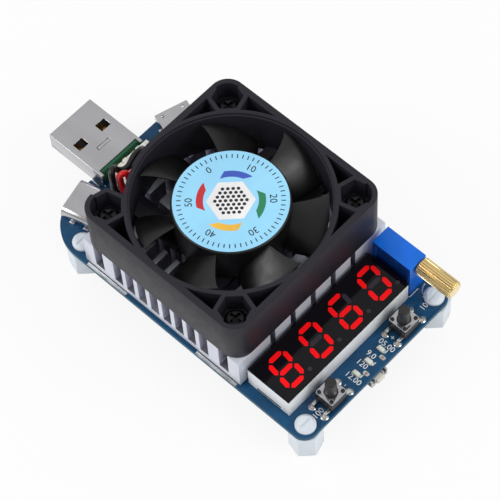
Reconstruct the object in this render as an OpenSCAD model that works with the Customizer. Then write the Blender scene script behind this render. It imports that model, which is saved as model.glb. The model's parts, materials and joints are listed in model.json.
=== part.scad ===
// Small DC electronic load: a blue board on nylon feet that carries a finned heat sink with its fan,
// a four-digit display, two push switches, a side switch, a trimmer, a power plug and two ports.
// Millimetres. X runs to the right along the display, Y towards the power plug, Z up.
// The origin lies on the resting plane, midway between the four feet.

/* [Board] */
// Board's edge beyond the heat sink on each side
board_margin = 0.65; // [0.3:0.05:5]
// Strip for the switches, from the board's front edge to the display
control_strip = 6.45; // [6.3:0.05:9]
// Strip for the plug and the ports, from the heat sink to the board's back edge
tail_strip = 13.05; // [13:0.05:20]
// Board thickness
board_t = 1; // [0.8:0.1:2.4]
// Radius of the two front corners
front_corner_r = 3; // [1:0.5:4]
// Radius of the two back corners
back_corner_r = 10; // [4:0.5:11]
// Side edges of the board to the foot holes
foot_side_inset = 3.05; // [2.8:0.05:4]
// Front edge of the board to the front foot holes
foot_front_inset = 2.75; // [2.6:0.05:3]
// Back edge of the board to the back foot holes
foot_back_inset = 9.5; // [9:0.1:10]
// Length of each bare tinned strip on the left edge
strip_l = 11; // [6:0.5:14]
// Thickness of the tin on the strips
strip_t = 0.1; // [0.05:0.05:0.2]
// Distance of the strips' middles from the heat sink's middle
strip_off = 15.3; // [8:0.1:16]

/* [Feet] */
// Height of a foot
foot_h = 6.6; // [5.5:0.1:20]
// Foot hexagon across flats
foot_af = 6.2; // [5:0.1:6.5]
// Turn of the hexagons
foot_turn = 15; // [0:1:30]
// Threaded bore of a foot
foot_bore = 2.5; // [2:0.1:3]
// Hole for the screw in the board and in the top of a foot
foot_hole = 3.2; // [3:0.1:3.4]
// Nylon screw head diameter
foot_head_d = 4.3; // [4:0.1:5]
// Nylon screw head height
foot_head_h = 1.3; // [0.8:0.1:1.6]
// Length of the nylon screw inside the foot
foot_bite = 2.4; // [1.5:0.1:3.5]

/* [Heat sink] */
// Middle of the heat sink and fan, across the board
sink_x = 0.1; // [0:0.1:0.4]
// Side of the square heat sink and of the fan
sink_size = 43; // [40:0.1:50]
// Heat sink height with its base
sink_h = 8.5; // [7:0.1:12]
// Thickness of the heat sink's base
sink_base = 1.5; // [1:0.1:2.5]
// Thickness of the two thick fins on each end
end_fin_t = 3; // [2.5:0.1:3.2]
// Channel between the thick fins, which takes the fan screws
end_gap = 2.5; // [2:0.1:3]
// Thickness of a thin fin
thin_fin_t = 1.1; // [0.8:0.1:1.4]
// Number of thin fins
thin_fin_count = 7; // [5:2:7]
// Width of the cuts across the fins
cut_w = 1.45; // [1:0.05:2]
// Pitch of the cuts across the fins
cut_pitch = 5.87; // [5:0.01:6]
// Number of cuts across the fins
cut_count = 5; // [3:2:5]
// Thermal pad thickness
pad_t = 0.4; // [0.2:0.1:1]
// Side of the square thermal pad
pad_size = 30; // [20:1:31]
// Diameter of the screws that hold the heat sink from below
sink_screw_d = 2; // [1.6:0.1:2.4]
// Head diameter of those screws
sink_head_d = 3.6; // [3:0.1:4.2]
// Head height of those screws
sink_head_h = 1.2; // [0.8:0.1:1.6]
// Length of those screws inside the heat sink
sink_bite = 4; // [3:0.5:5]

/* [Fan frame] */
// Height of the fan
fan_h = 11.7; // [11:0.1:14]
// Outer corner radius of the fan frame
fan_corner_r = 4; // [3:0.5:5]
// Thinnest wall between the air opening and a side of the frame
fan_side_wall = 1.5; // [1.3:0.1:2]
// Depth of the fine step round the top of the air opening
lip_h = 0.5; // [0.3:0.1:1]
// Width of that step
lip_w = 0.4; // [0.2:0.1:0.5]
// Outer wall beside the triangular pockets
pocket_wall = 1.4; // [1:0.1:1.6]
// Wall between those pockets and the air opening
rim_wall = 1.2; // [1:0.1:1.5]
// Radius of the six-sided screw wells
well_r = 3.3; // [2.9:0.1:3.4]
// Wall round a screw well
well_wall = 1; // [0.8:0.1:1.2]
// Floor under the screw heads in the wells
well_floor = 6.6; // [2:0.1:8]
// Floor under the triangular pockets
pocket_floor = 2.5; // [2:0.1:4]
// Fan screw head diameter
fan_head_d = 4.6; // [4:0.1:4.8]
// Fan screw head height
fan_head_h = 1.7; // [1.2:0.1:2]
// Length of the fan screws below the fan
fan_bite = 5.5; // [3:0.5:6]
// Thickness of the struts that carry the motor
strut_t = 1.5; // [1.2:0.1:1.6]
// Width of a strut
strut_w = 2.4; // [2:0.1:3]
// Distance of the struts from the fan's middle line
strut_off = 6.8; // [5:0.1:7.5]
// Diameter of the motor base
motor_base_d = 22; // [20:0.5:23]
// Thickness of the motor base
motor_base_t = 1.2; // [1:0.1:1.6]

/* [Fan rotor] */
// Hub diameter
hub_d = 24; // [23:0.1:25]
// Depth of the hub's top below the frame's top
hub_recess = 0.4; // [0.3:0.1:1]
// Thickness of the hub's top
hub_top_t = 1.2; // [1:0.1:1.4]
// Thickness of the hub's wall
hub_wall = 1.2; // [1:0.1:1.4]
// Number of blades
blade_count = 7; // [5:1:9]
// Gap between the blade tips and the air opening
tip_gap = 0.7; // [0.5:0.1:1.2]
// Blade thickness
blade_t = 0.9; // [0.7:0.1:1.2]
// Angle that a blade covers seen from above
blade_span = 33; // [28:1:38]
// Angle by which the tip of the leading edge runs ahead of its root
blade_sweep = 7; // [0:0.5:10]
// Angle of the first blade's tip
first_blade = 10.3; // [0:0.1:50]
// Leading edge below the frame's top
blade_top_gap = 1.3; // [1:0.1:2]
// Trailing edge above the frame's bottom
blade_low_gap = 3.4; // [3:0.1:4]
// Diameter of the round label on the hub
label_d = 23.2; // [20:0.1:23.2]
// Thickness of the label
label_t = 0.15; // [0.1:0.05:0.2]

/* [Fan motor] */
// Shaft diameter
shaft_d = 2; // [1.5:0.1:2.4]
// Outer diameter of the sleeve bearing
bearing_d = 4; // [3.5:0.1:4.4]
// Wall of the post that holds the bearing
post_wall = 0.6; // [0.5:0.1:0.8]
// Height of the post above the frame's bottom
post_h = 7.4; // [6.5:0.1:8]
// Wall of the steel ring inside the hub
yoke_t = 0.6; // [0.4:0.1:0.8]
// Wall of the ring magnet
magnet_t = 1.2; // [1:0.1:1.4]
// Height of the ring magnet
magnet_h = 5; // [4:0.1:6]
// Gap between magnet and stator
air_gap = 0.4; // [0.3:0.05:0.6]
// Number of stator poles
pole_count = 4; // [4:2:6]
// Height of the stator core
core_h = 2; // [1.6:0.1:2.4]
// Thickness of the winding above and below the core
coil_t = 0.8; // [0.5:0.1:1]
// Thickness of the motor's circuit board
motor_board_t = 0.6; // [0.4:0.1:0.8]

/* [Fan lead] */
// Wire diameter
wire_d = 1.4; // [0.9:0.1:1.4]
// Distance of the lead's channel from the fan's middle line
lead_off = 9.2; // [8:0.1:9.6]
// Roof of the channel
channel_roof = 0.5; // [0.4:0.1:0.6]
// Middle of the fan connector across the board
socket_x = 0; // [-0.5:0.1:0.5]
// Middle of the fan connector behind the fan
socket_back = 5.05; // [4.6:0.05:5.1]
// Width of the board socket
socket_w = 9.4; // [7:0.1:10]
// Depth of the board socket
socket_d = 5.6; // [5.2:0.1:5.8]
// Height of the board socket
socket_h = 7; // [5:0.1:7]
// Wall and floor of the board socket
socket_wall = 0.8; // [0.6:0.1:1]
// Height of the lead's plug inside and above the socket
lead_plug_h = 6.6; // [6.4:0.1:7.5]
// Pitch of the two pins
socket_pitch = 2.5; // [2.4:0.1:2.6]
// Side of a square pin
socket_pin = 0.6; // [0.5:0.05:0.7]

/* [Power plug] */
// Middle of the plug across the board
plug_x = -1.15; // [-1.5:0.05:-0.8]
// Reach of the shell beyond the board's back edge
plug_reach = 11.85; // [11:0.05:13]
// Length of the shell with its two rear tabs
plug_l = 15.65; // [15.2:0.05:15.7]
// Length of the rear tabs
plug_tab_l = 1.5; // [1:0.05:1.6]
// Width of a rear tab
plug_tab_w = 0.7; // [0.5:0.1:2.5]
// Width of the shell
plug_w = 12; // [12:0.1:12.2]
// Height of the shell
plug_h = 4.5; // [4.5:0.1:4.6]
// Sheet thickness of the shells
sheet_t = 0.3; // [0.2:0.05:0.35]
// Underside of the shell above the board
plug_lift = 0.5; // [0.4:0.1:1]
// Width of the two windows
window_w = 2.5; // [2:0.1:2.5]
// Length of the two windows
window_l = 2.1; // [1.8:0.1:2.2]
// Distance of a window from the plug's middle line
window_off = 3.25; // [3:0.05:3.5]
// Middle of the windows behind the tip
window_back = 6.65; // [6:0.05:7]
// Thickness of the insulating tongue
tongue_t = 1.9; // [1.8:0.1:2]
// Length of the insulator's full-height rear block
block_l = 5.5; // [4:0.1:6]
// Contact thickness
contact_t = 0.25; // [0.2:0.05:0.3]
// Contact width
contact_w = 1; // [0.8:0.1:1.2]

/* [Ports] */
// Width of the wide port
wide_w = 8.94; // [8.8:0.02:9]
// Depth of the wide port
wide_d = 7.35; // [7:0.05:7.5]
// Height of the wide port
wide_h = 3.2; // [3.1:0.05:3.3]
// Mouth of the wide port from the board's left edge
wide_in = 8.6; // [8.3:0.05:8.9]
// Mouth of the wide port before the board's back edge
wide_back = 1; // [0.6:0.1:1.2]
// Angle of the wide port
wide_turn = 14; // [10:0.5:16]
// Width of the small port
small_w = 7.7; // [7.5:0.05:8]
// Depth of the small port
small_d = 5; // [4.8:0.05:5.4]
// Height of the small port
small_h = 2.6; // [2.5:0.05:2.8]
// Mouth of the small port from the board's right edge
small_in = 6.6; // [6.3:0.05:7]
// Mouth of the small port before the board's back edge
small_back = 1.2; // [0.9:0.1:1.4]
// Angle of the small port
small_turn = -17; // [-20:0.5:-10]

/* [Display] */
// Left end of the display from the board's left edge
display_in = 2.4; // [2.2:0.05:2.8]
// Gap between the display and the heat sink
display_gap = 0.65; // [0.3:0.05:2]
// Width of the display
display_w = 35.15; // [34.8:0.05:35.4]
// Depth of the display
display_d = 10.9; // [10.6:0.05:11.2]
// Height of the display
display_h = 6; // [5:0.1:7]
// Thickness of the black face
face_t = 0.6; // [0.4:0.1:0.8]
// Distance between digits
digit_pitch = 8.6; // [8.2:0.05:8.7]
// Distance between the middle lines of a digit's upright segments
digit_w = 4.1; // [3.6:0.05:4.2]
// Distance between the middle lines of a digit's top and bottom segments
digit_h = 6.85; // [6:0.05:7]
// Lean of the digits
digit_lean = 8.2; // [0:0.1:10]
// Width of a segment
segment_w = 1.05; // [0.8:0.05:1.1]
// Clear space at the ends of a segment
segment_space = 0.3; // [0.2:0.05:0.4]
// Diameter of a decimal point
point_d = 0.95; // [0.8:0.05:1]
// Side of a square display pin
display_pin = 0.5; // [0.4:0.05:0.6]
// Pitch of the display pins
display_pin_pitch = 2.54; // [2:0.01:2.6]
// Distance between the two rows of display pins
display_row_pitch = 7.62; // [7:0.01:8]

/* [Push switches] */
// Left switch from the board's left edge
left_switch_in = 10.5; // [10.3:0.05:10.7]
// Right switch from the board's right edge
right_switch_in = 12.25; // [12:0.05:12.5]
// Middle of both switches before the display
switch_ahead = 3.67; // [3.5:0.01:3.8]
// Side of the square steel cover
switch_side = 4.5; // [4.4:0.1:4.6]
// Top of the cover above the board
switch_h = 3.6; // [3.2:0.1:4]
// Top of the stem above the board
stem_h = 7.4; // [6:0.1:9]
// Stem diameter at the cover
stem_d = 2.7; // [2.4:0.1:2.8]
// Stem diameter at its tip
stem_tip_d = 2.3; // [2:0.1:2.4]
// Travel of the stems
stem_travel = 0.25; // [0.2:0.05:0.3]
// Distance between the legs on opposite sides
leg_span = 7; // [6.6:0.1:7.2]
// Distance between the legs on one side
leg_pitch = 3.2; // [3:0.1:3.4]
// Leg width
leg_w = 0.7; // [0.5:0.05:0.8]

/* [Side switch] */
// Middle of the side switch across the board
side_x = -1.05; // [-2:0.05:0]
// Width of the side switch
side_w = 4.6; // [4.4:0.1:5]
// Depth of the side switch
side_d = 2.4; // [2.2:0.1:2.8]
// Height of the side switch
side_h = 2; // [1.8:0.1:2.4]
// Front of the switch beyond the board's edge
side_reach = 0.6; // [0.5:0.1:1.2]
// Width of the side button
side_button_w = 1.9; // [1.6:0.1:2.4]
// Height of the side button
side_button_h = 1.1; // [0.9:0.1:1.2]
// Reach of the side button beyond the switch
side_button_reach = 0.6; // [0.5:0.1:0.9]
// Travel of the side button
side_travel = 0.25; // [0.2:0.05:0.3]

/* [Trimmer] */
// Gap between the display and the trimmer
trimmer_gap = 0.65; // [0.3:0.05:1]
// Front face of the trimmer behind the display's front
trimmer_back = 0.25; // [0:0.05:0.4]
// Trimmer width
trimmer_w = 4.85; // [4.8:0.05:5]
// Trimmer depth and height
trimmer_l = 10; // [9.8:0.1:10.2]
// Adjusting screw from the left face
adjuster_in = 3.05; // [2.9:0.05:3.15]
// Adjusting screw below the top
adjuster_down = 1.4; // [1.3:0.05:1.6]
// Adjusting screw diameter
adjuster_d = 2.2; // [2:0.05:2.2]
// Knob diameter
knob_d = 4; // [3.6:0.1:4.4]
// Knob length
knob_l = 8.8; // [7:0.1:10]
// Number of flutes round the knob
flute_count = 20; // [16:1:24]

/* [Indicator lamps] */
// Middle lamp across the board
lamp_x = -0.55; // [-1:0.05:0]
// Middle of the lamps before the display
lamp_ahead = 3.7; // [3.5:0.05:3.8]
// Distance between lamps
lamp_pitch = 3.65; // [3.4:0.05:3.8]
// Lamp length
lamp_l = 2; // [1.6:0.1:2.2]
// Lamp width
lamp_w = 0.95; // [0.8:0.05:1.2]
// Lamp height
lamp_h = 0.7; // [0.5:0.05:0.8]

/* [Underside parts] */
// Side of the square controller chip
controller_side = 7; // [6.5:0.1:7.2]
// Height of the chips
chip_h = 1.4; // [1:0.1:1.6]
// Pitch of the controller's leads
lead_pitch = 0.8; // [0.7:0.05:0.8]
// Width of a power transistor's body
transistor_w = 6.5; // [6.2:0.1:6.8]
// Length of a power transistor's body
transistor_l = 6; // [5.8:0.1:6.2]
// Height of a power transistor
transistor_h = 2.3; // [2.1:0.1:2.5]
// Distance between the two power transistors
transistor_pitch = 18; // [17:0.5:20]

/* [Clearances] */
// Round a screw shank in its threaded bore
thread_gap = 0.05; // [0.03:0.01:0.1]
// Round a pin, leg or screw in its board hole
hole_gap = 0.15; // [0.1:0.05:0.2]
// Round a turning shaft
turn_gap = 0.03; // [0.02:0.01:0.05]
// Round a sliding stem or button
slide_gap = 0.08; // [0.05:0.01:0.1]
// Between a moving piece and the parts it must not touch
free_gap = 0.3; // [0.2:0.05:0.4]
// Round a plug in its socket
plug_gap = 0.1; // [0.05:0.05:0.15]
// Round a piece that is pressed on
press_gap = 0.03; // [0.02:0.01:0.05]

/* [Hidden] */
$fn = 64;
eps = 0.01;

deck = foot_h + board_t;
board_w = sink_size + 2 * board_margin;
board_l = control_strip + display_d + display_gap + sink_size + tail_strip;
foot_pitch_x = board_w - 2 * foot_side_inset;
foot_pitch_y = board_l - foot_front_inset - foot_back_inset;
board_front = -foot_pitch_y / 2 - foot_front_inset;
board_back = board_front + board_l;
display_x = -board_w / 2 + display_in;
display_y = board_front + control_strip;

sink_y = display_y + display_d + display_gap + sink_size / 2;
sink_z = deck + pad_t;
fan_z = sink_z + sink_h;
thick_fin_1 = sink_size / 2 - end_fin_t / 2;
thick_fin_2 = thick_fin_1 - end_fin_t - end_gap;
well_off = sink_size / 2 - end_fin_t - end_gap / 2;
thin_fin_room = 2 * thick_fin_2 - end_fin_t;
thin_fin_pitch = (thin_fin_room + thin_fin_t) / (thin_fin_count + 1);
outer_cut = (cut_count - 1) / 2 * cut_pitch + cut_w / 2;
sink_screw_off = (sink_size / 2 + outer_cut) / 2;

fan_bore = sink_size - 2 * fan_side_wall;
tip_r = fan_bore / 2 - tip_gap;
hub_low = motor_base_t + 1.2;
hub_high = fan_h - hub_recess;
hub_roof = hub_high - hub_top_t;
yoke_r = hub_d / 2 - hub_wall;
magnet_r = yoke_r - yoke_t;
stator_r = magnet_r - magnet_t - air_gap;
post_r = bearing_d / 2 + post_wall;
core_z = motor_base_t + motor_board_t + coil_t + 0.4;
blade_rows = 6;
blade_cols = 9;

wire_gap = wire_d / 2 + 0.05;
channel_w = 4 * wire_gap + 0.2;
channel_h = wire_d + 0.2;
lead_x = sink_x - lead_off;
lead_z = fan_z + channel_h / 2;
tab_l = 9.5;
tab_end = sink_y + tab_l;
fan_back = sink_y + sink_size / 2;
socket_y = fan_back + socket_back;
lead_top = deck + socket_wall + lead_plug_h;
red_x = lead_x + wire_gap;
black_x = lead_x - wire_gap;
red_end = socket_x - socket_pitch / 2;
black_end = socket_x + socket_pitch / 2;
red_route = [
    [red_x, tab_end, lead_z],
    [red_x, tab_end + 3.6, lead_z],
    [red_x, tab_end + 7.2, lead_z],
    [red_x, fan_back - 1.2, lead_z],
    [red_x, fan_back + 0.8, lead_z + 0.6],
    [red_x + 0.1, fan_back + 1.6, lead_z + 2],
    [red_x + 0.15, fan_back + 1.8, lead_z + 3.6],
    [red_x + 0.15, fan_back + 1.85, lead_z + 4.4],
    [red_x + 0.4, fan_back + 1.7, lead_z + 5.05],
    [red_x + 0.9, fan_back + 1.4, lead_z + 5.3],
    [red_x + 1.4, fan_back + 1.1, lead_z + 5.05],
    [red_x + 1.65, fan_back + 0.95, lead_z + 4.4],
    [red_x + 1.7, fan_back + 0.95, lead_z + 3.3],
    [red_x + 1.95, fan_back + 1.15, lead_z + 2],
    [red_x + 2.65, fan_back + 1.65, lead_z + 1],
    [red_x + 3.65, fan_back + 2.35, lead_z + 0.4],
    [red_end - 2.35, socket_y - 1.9, lead_top + 2.5],
    [red_end - 1.25, socket_y - 1.1, lead_top + 2.6],
    [red_end - 0.4, socket_y - 0.4, lead_top + 2.2],
    [red_end, socket_y, lead_top + 1.2],
    [red_end, socket_y, lead_top]
];
black_route = [
    [black_x, tab_end, lead_z],
    [black_x, tab_end + 3.6, lead_z],
    [black_x, tab_end + 7.2, lead_z],
    [black_x, fan_back - 1.2, lead_z],
    [black_x, fan_back + 1.2, lead_z + 0.5],
    [black_x + 0.25, fan_back + 2.45, lead_z + 1.9],
    [black_x + 0.4, fan_back + 2.65, lead_z + 3.5],
    [black_x + 0.65, fan_back + 3.05, lead_z + 4.9],
    [black_x + 1.5, fan_back + 3.65, lead_z + 5.5],
    [black_x + 2.35, fan_back + 4.05, lead_z + 4.7],
    [black_x + 2.95, fan_back + 3.85, lead_z + 3.5],
    [black_x + 3.85, fan_back + 3.35, lead_z + 2.9],
    [black_x + 5.05, fan_back + 3.05, lead_z + 3],
    [black_x + 6.35, fan_back + 3.35, lead_z + 3.3],
    [black_end - 3.35, socket_y - 1.2, lead_top + 5.6],
    [black_end - 1.75, socket_y - 0.9, lead_top + 5.1],
    [black_end - 0.55, socket_y - 0.4, lead_top + 3.9],
    [black_end, socket_y, lead_top + 2.2],
    [black_end, socket_y, lead_top]
];

plug_tip = board_back + plug_reach;
plug_rear = plug_tip - plug_l;
plug_z = deck + plug_lift;
tongue_top = plug_z + sheet_t + tongue_t;
insulator_rear = plug_rear + plug_tab_l - 0.7;
contact_offs = [-3.5, -1, 1, 3.5];
plug_leg_y = plug_rear + plug_tab_l + 0.2;
plug_leg_l = 2;
wide_x = -board_w / 2 + wide_in;
wide_y = board_back - wide_back;
small_x = board_w / 2 - small_in;
small_y = board_back - small_back;

display_mid = [display_x + display_w / 2 + 0.3, display_y + display_d / 2 - 0.3];
display_top = deck + display_h;
face_z = display_top - face_t;
lit = [
    [1, 1, 1, 1, 1, 1, 1],
    [1, 1, 1, 1, 1, 1, 0],
    [1, 0, 1, 1, 1, 1, 1],
    [1, 1, 1, 1, 1, 1, 0]
];

left_switch_x = -board_w / 2 + left_switch_in;
right_switch_x = board_w / 2 - right_switch_in;
switch_y = display_y - switch_ahead;
lamp_y = display_y - lamp_ahead;
switch_plate_t = 0.3;
switch_base_h = switch_h - switch_plate_t;
rivet_off = switch_side / 2 - 0.6;
rivet_r = 0.42;
flange_r = stem_d / 2 + 0.25;
dome_floor = 0.6;
stem_low = dome_floor + 0.35 + stem_travel + 0.1;

side_front = board_front - side_reach;
side_z = foot_h - side_h;
side_skin = 0.25;
side_button_z = side_z + side_h - side_skin - 0.15 - side_button_h / 2;

trimmer_x = display_x + display_w + trimmer_gap;
trimmer_y = display_y + trimmer_back;
adjuster_x = trimmer_x + adjuster_in;
adjuster_z = deck + trimmer_l - adjuster_down;
adjuster_l = trimmer_l - 1.5;
knob_back = trimmer_y - free_gap;
knob_hole = 2.5;

controller_y = -6;
capacitor_spots = [[-6, 13], [6, 13], [-7, -13.5], [0, -18], [7, -13.5], [-15, 15], [15, 15]];

// Outside of a rounded corner at the origin, for cutting a square corner round.
module corner_cut(r) {
    difference() {
        translate([-1, -1])
            square(r + 1);
        translate([r, r])
            circle(r);
    }
}

// Rectangle about the origin with its own radius on the front and the back corners.
module rounded(w, l, r_front, r_back) {
    difference() {
        square([w, l], center = true);
        for (side = [0, 1]) {
            mirror([side, 0]) {
                translate([-w / 2, -l / 2])
                    corner_cut(r_front);
                translate([-w / 2, l / 2])
                    mirror([0, 1])
                        corner_cut(r_back);
            }
        }
    }
}

module at_feet() {
    for (sx = [-1, 1], sy = [-1, 1])
        translate([sx * foot_pitch_x / 2, sy * foot_pitch_y / 2])
            children();
}

module at_sink() {
    translate([sink_x, sink_y])
        children();
}

module at_fan() {
    translate([sink_x, sink_y, fan_z])
        children();
}

module at_sink_screws() {
    at_sink()
        for (sx = [-1, 1], sy = [-1, 1])
            translate([sx * sink_screw_off, sy * thick_fin_1])
                children();
}

module at_wells() {
    for (turn = [0:90:270])
        rotate(turn)
            translate([well_off, well_off])
                children();
}

module at_switches() {
    for (x = [left_switch_x, right_switch_x])
        translate([x, switch_y])
            children();
}

module at_switch_legs() {
    at_switches()
        for (turn = [0, 180], y = [-1, 1])
            rotate(turn)
                translate([leg_span / 2, y * leg_pitch / 2])
                    children();
}

module at_display_pins() {
    translate([display_x + display_w / 2, display_y + display_d / 2])
        for (k = [-2.5:1:2.5], side = [-1, 1])
            translate([k * display_pin_pitch, side * display_row_pitch / 2])
                children();
}

module at_trimmer_pins() {
    translate([trimmer_x + trimmer_w / 2, trimmer_y + trimmer_l / 2])
        for (k = [-1:1])
            translate([0, k * 2.54])
                children();
}

module at_socket_pins() {
    for (side = [-1, 1])
        translate([socket_x + side * socket_pitch / 2, socket_y])
            children();
}

module at_plug_legs() {
    for (side = [-1, 1])
        translate([plug_x + side * (plug_w - sheet_t) / 2, plug_leg_y + plug_leg_l / 2])
            children();
}

module at_wide_port() {
    translate([wide_x, wide_y, deck])
        rotate(wide_turn)
            children();
}

module at_small_port() {
    translate([small_x, small_y, deck])
        rotate(small_turn)
            children();
}

module at_lamps() {
    for (k = [-1:1])
        translate([lamp_x + k * lamp_pitch, lamp_y, deck])
            children();
}

module circuit_board() {
    color([0.07, 0.25, 0.47])
        translate([0, 0, foot_h])
            linear_extrude(board_t)
                difference() {
                    translate([0, (board_front + board_back) / 2])
                        rounded(board_w, board_l, front_corner_r, back_corner_r);
                    at_feet()
                        circle(d = foot_hole);
                    at_sink_screws()
                        circle(d = sink_screw_d + 2 * hole_gap);
                    at_switch_legs()
                        circle(d = leg_w + 2 * hole_gap);
                    at_display_pins()
                        circle(d = display_pin * sqrt(2) + 2 * hole_gap);
                    at_trimmer_pins()
                        circle(d = display_pin * sqrt(2) + 2 * hole_gap);
                    at_socket_pins()
                        circle(d = socket_pin * sqrt(2) + 2 * hole_gap);
                    at_plug_legs()
                        square([sheet_t + 2 * hole_gap, plug_leg_l + 2 * hole_gap], center = true);
                }
}

module edge_strips() {
    color([0.86, 0.87, 0.88])
        for (side = [-1, 1])
            translate([-board_w / 2, sink_y + side * strip_off - strip_l / 2, deck])
                cube([board_w / 2 + sink_x - sink_size / 2 - 0.05, strip_l, strip_t]);
}

module standoffs() {
    color([0.9, 0.92, 0.95])
        at_feet()
            difference() {
                rotate(foot_turn)
                    cylinder(d = foot_af / cos(30), h = foot_h, $fn = 6);
                translate([0, 0, -1])
                    cylinder(d = foot_bore, h = foot_h + 2);
                translate([0, 0, foot_h - foot_bite - 0.2])
                    cylinder(d = foot_hole, h = foot_bite + 1);
            }
}

module board_screws() {
    shank_r = foot_hole / 2 - thread_gap;
    edge_h = foot_head_h * 0.45;
    color([0.9, 0.92, 0.95])
        at_feet()
            translate([0, 0, deck])
                difference() {
                    union() {
                        translate([0, 0, -board_t - foot_bite])
                            cylinder(r = shank_r, h = board_t + foot_bite + eps);
                        cylinder(d = foot_head_d, h = edge_h);
                        translate([0, 0, edge_h])
                            cylinder(d1 = foot_head_d, d2 = foot_head_d * 0.68, h = foot_head_h - edge_h);
                    }
                    translate([-foot_head_d, -0.25, foot_head_h - 0.25])
                        cube([foot_head_d * 2, 0.5, 1]);
                }
}

module thermal_pad() {
    color([0.6, 0.62, 0.66])
        translate([sink_x, sink_y, deck + pad_t / 2])
            cube([pad_size, pad_size, pad_t], center = true);
}

module heat_sink_fin(y, thickness) {
    translate([-sink_size / 2, y - thickness / 2, sink_base - eps])
        cube([sink_size, thickness, sink_h - sink_base + eps]);
}

module heat_sink() {
    half = sink_size / 2;
    color([0.82, 0.84, 0.87])
        difference() {
            translate([sink_x, sink_y, sink_z])
                difference() {
                    union() {
                        translate([-half, -half, 0])
                            cube([sink_size, sink_size, sink_base]);
                        for (side = [-1, 1]) {
                            heat_sink_fin(side * thick_fin_1, end_fin_t);
                            heat_sink_fin(side * thick_fin_2, end_fin_t);
                        }
                        for (k = [-(thin_fin_count - 1) / 2:(thin_fin_count - 1) / 2])
                            heat_sink_fin(k * thin_fin_pitch, thin_fin_t);
                    }
                    for (k = [-(cut_count - 1) / 2:(cut_count - 1) / 2])
                        translate([k * cut_pitch - cut_w / 2, -half - 1, sink_base])
                            cube([cut_w, sink_size + 2, sink_h]);
                }
            at_sink_screws()
                translate([0, 0, sink_z - 1])
                    cylinder(d = sink_screw_d + 2 * thread_gap, h = sink_bite + 1.5);
        }
}

module heat_sink_screws() {
    shank_l = board_t + pad_t + sink_bite;
    color([0.45, 0.45, 0.47])
        at_sink_screws()
            translate([0, 0, foot_h])
                difference() {
                    union() {
                        translate([0, 0, -sink_head_h])
                            cylinder(d = sink_head_d, h = sink_head_h);
                        cylinder(d = sink_screw_d, h = shank_l);
                    }
                    cross_recess(sink_head_d * 0.6, sink_head_h * 0.6, -sink_head_h);
                }
}

// Cross-shaped recess of a screw head, its middle depth at height z.
module cross_recess(span, depth, z) {
    for (turn = [0, 90])
        rotate(turn)
            translate([-span / 2, -span / 8, z - depth])
                cube([span, span / 4, depth * 2]);
}

// Screw well seen from above: a hexagon with a flat side towards the fan's middle and a round outer side.
module well_outline(r) {
    rotate(15)
        circle(r, $fn = 6);
    intersection() {
        circle(r);
        square(r + 1);
    }
}

// Solid round the screw well in the corner at +X +Y.
module well_solid() {
    translate([well_off, well_off]) {
        rotate(15)
            circle(well_r + well_wall, $fn = 6);
        square(sink_size / 2);
    }
}

// The two triangular pockets beside the well in the corner at +X +Y.
module corner_pockets() {
    inner = sink_size / 2 - pocket_wall;
    difference() {
        square(inner);
        circle(fan_bore / 2 + rim_wall);
        well_solid();
    }
}

// Open corner of the frame's back side, through which the fan's lead leaves.
module lead_notch() {
    rotate(90)
        difference() {
            square([sink_size, well_off]);
            circle(d = sink_size);
            well_solid();
        }
}

module fan_outline() {
    rounded(sink_size, sink_size, fan_corner_r, fan_corner_r);
}

module strut(from_x, y, to_x) {
    translate([from_x, y - strut_w / 2, 0])
        cube([to_x - from_x, strut_w, strut_t]);
}

module fan_frame() {
    reach = fan_bore / 2 + 0.5;
    inside = motor_base_d / 2 - 4;
    channel_reach = sink_size / 2 + 1;
    color([0.16, 0.16, 0.18])
        at_fan()
            difference() {
                union() {
                    difference() {
                        linear_extrude(fan_h)
                            difference() {
                                fan_outline();
                                circle(d = fan_bore);
                            }
                        translate([0, 0, fan_h - lip_h])
                            cylinder(d = fan_bore + 2 * lip_w, h = lip_h + 1);
                        translate([0, 0, pocket_floor])
                            linear_extrude(fan_h)
                                for (turn = [0:90:270])
                                    rotate(turn)
                                        corner_pockets();
                        translate([0, 0, well_floor])
                            linear_extrude(fan_h)
                                at_wells()
                                    well_outline(well_r);
                        translate([0, 0, -1])
                            linear_extrude(fan_h + 2)
                                lead_notch();
                    }
                    cylinder(d = motor_base_d, h = motor_base_t);
                    cylinder(r = post_r, h = post_h);
                    strut(inside, strut_off, reach - 1.2);
                    strut(inside, -strut_off, reach - 1.2);
                    strut(1.2 - reach, -strut_off, -inside);
                    translate([-lead_off - channel_w / 2 - 0.6, inside - 2, 0])
                        cube([channel_w + 1.2, tab_l - inside + 3, motor_base_t]);
                    intersection() {
                        translate([-lead_off - channel_w / 2 - 0.6, tab_l + 0.1, 0])
                            cube([channel_w + 1.2, reach, channel_h + channel_roof]);
                        cylinder(r = reach, h = fan_h);
                    }
                }
                translate([0, 0, motor_base_t])
                    cylinder(d = bearing_d, h = post_h);
                at_wells()
                    translate([0, 0, -1])
                        cylinder(d = end_gap + 2 * hole_gap, h = well_floor + 2);
                translate([-lead_off - channel_w / 2, tab_l - 0.1, -1])
                    cube([channel_w, channel_reach, channel_h + 1]);
            }
}

module fan_screws() {
    shank_r = end_gap / 2 - thread_gap;
    color([0.12, 0.12, 0.13])
        at_fan()
            at_wells()
                difference() {
                    union() {
                        translate([0, 0, -fan_bite])
                            cylinder(r = shank_r, h = fan_bite + well_floor + eps);
                        translate([0, 0, well_floor])
                            cylinder(d = fan_head_d, h = fan_head_h * 0.5);
                        translate([0, 0, well_floor + fan_head_h * 0.5])
                            cylinder(d1 = fan_head_d, d2 = fan_head_d * 0.7, h = fan_head_h * 0.5);
                    }
                    cross_recess(fan_head_d * 0.6, fan_head_h * 0.6, well_floor + fan_head_h);
                }
}

module ring(outer_r, inner_r, height) {
    difference() {
        cylinder(r = outer_r, h = height);
        translate([0, 0, -1])
            cylinder(r = inner_r, h = height + 2);
    }
}

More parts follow.
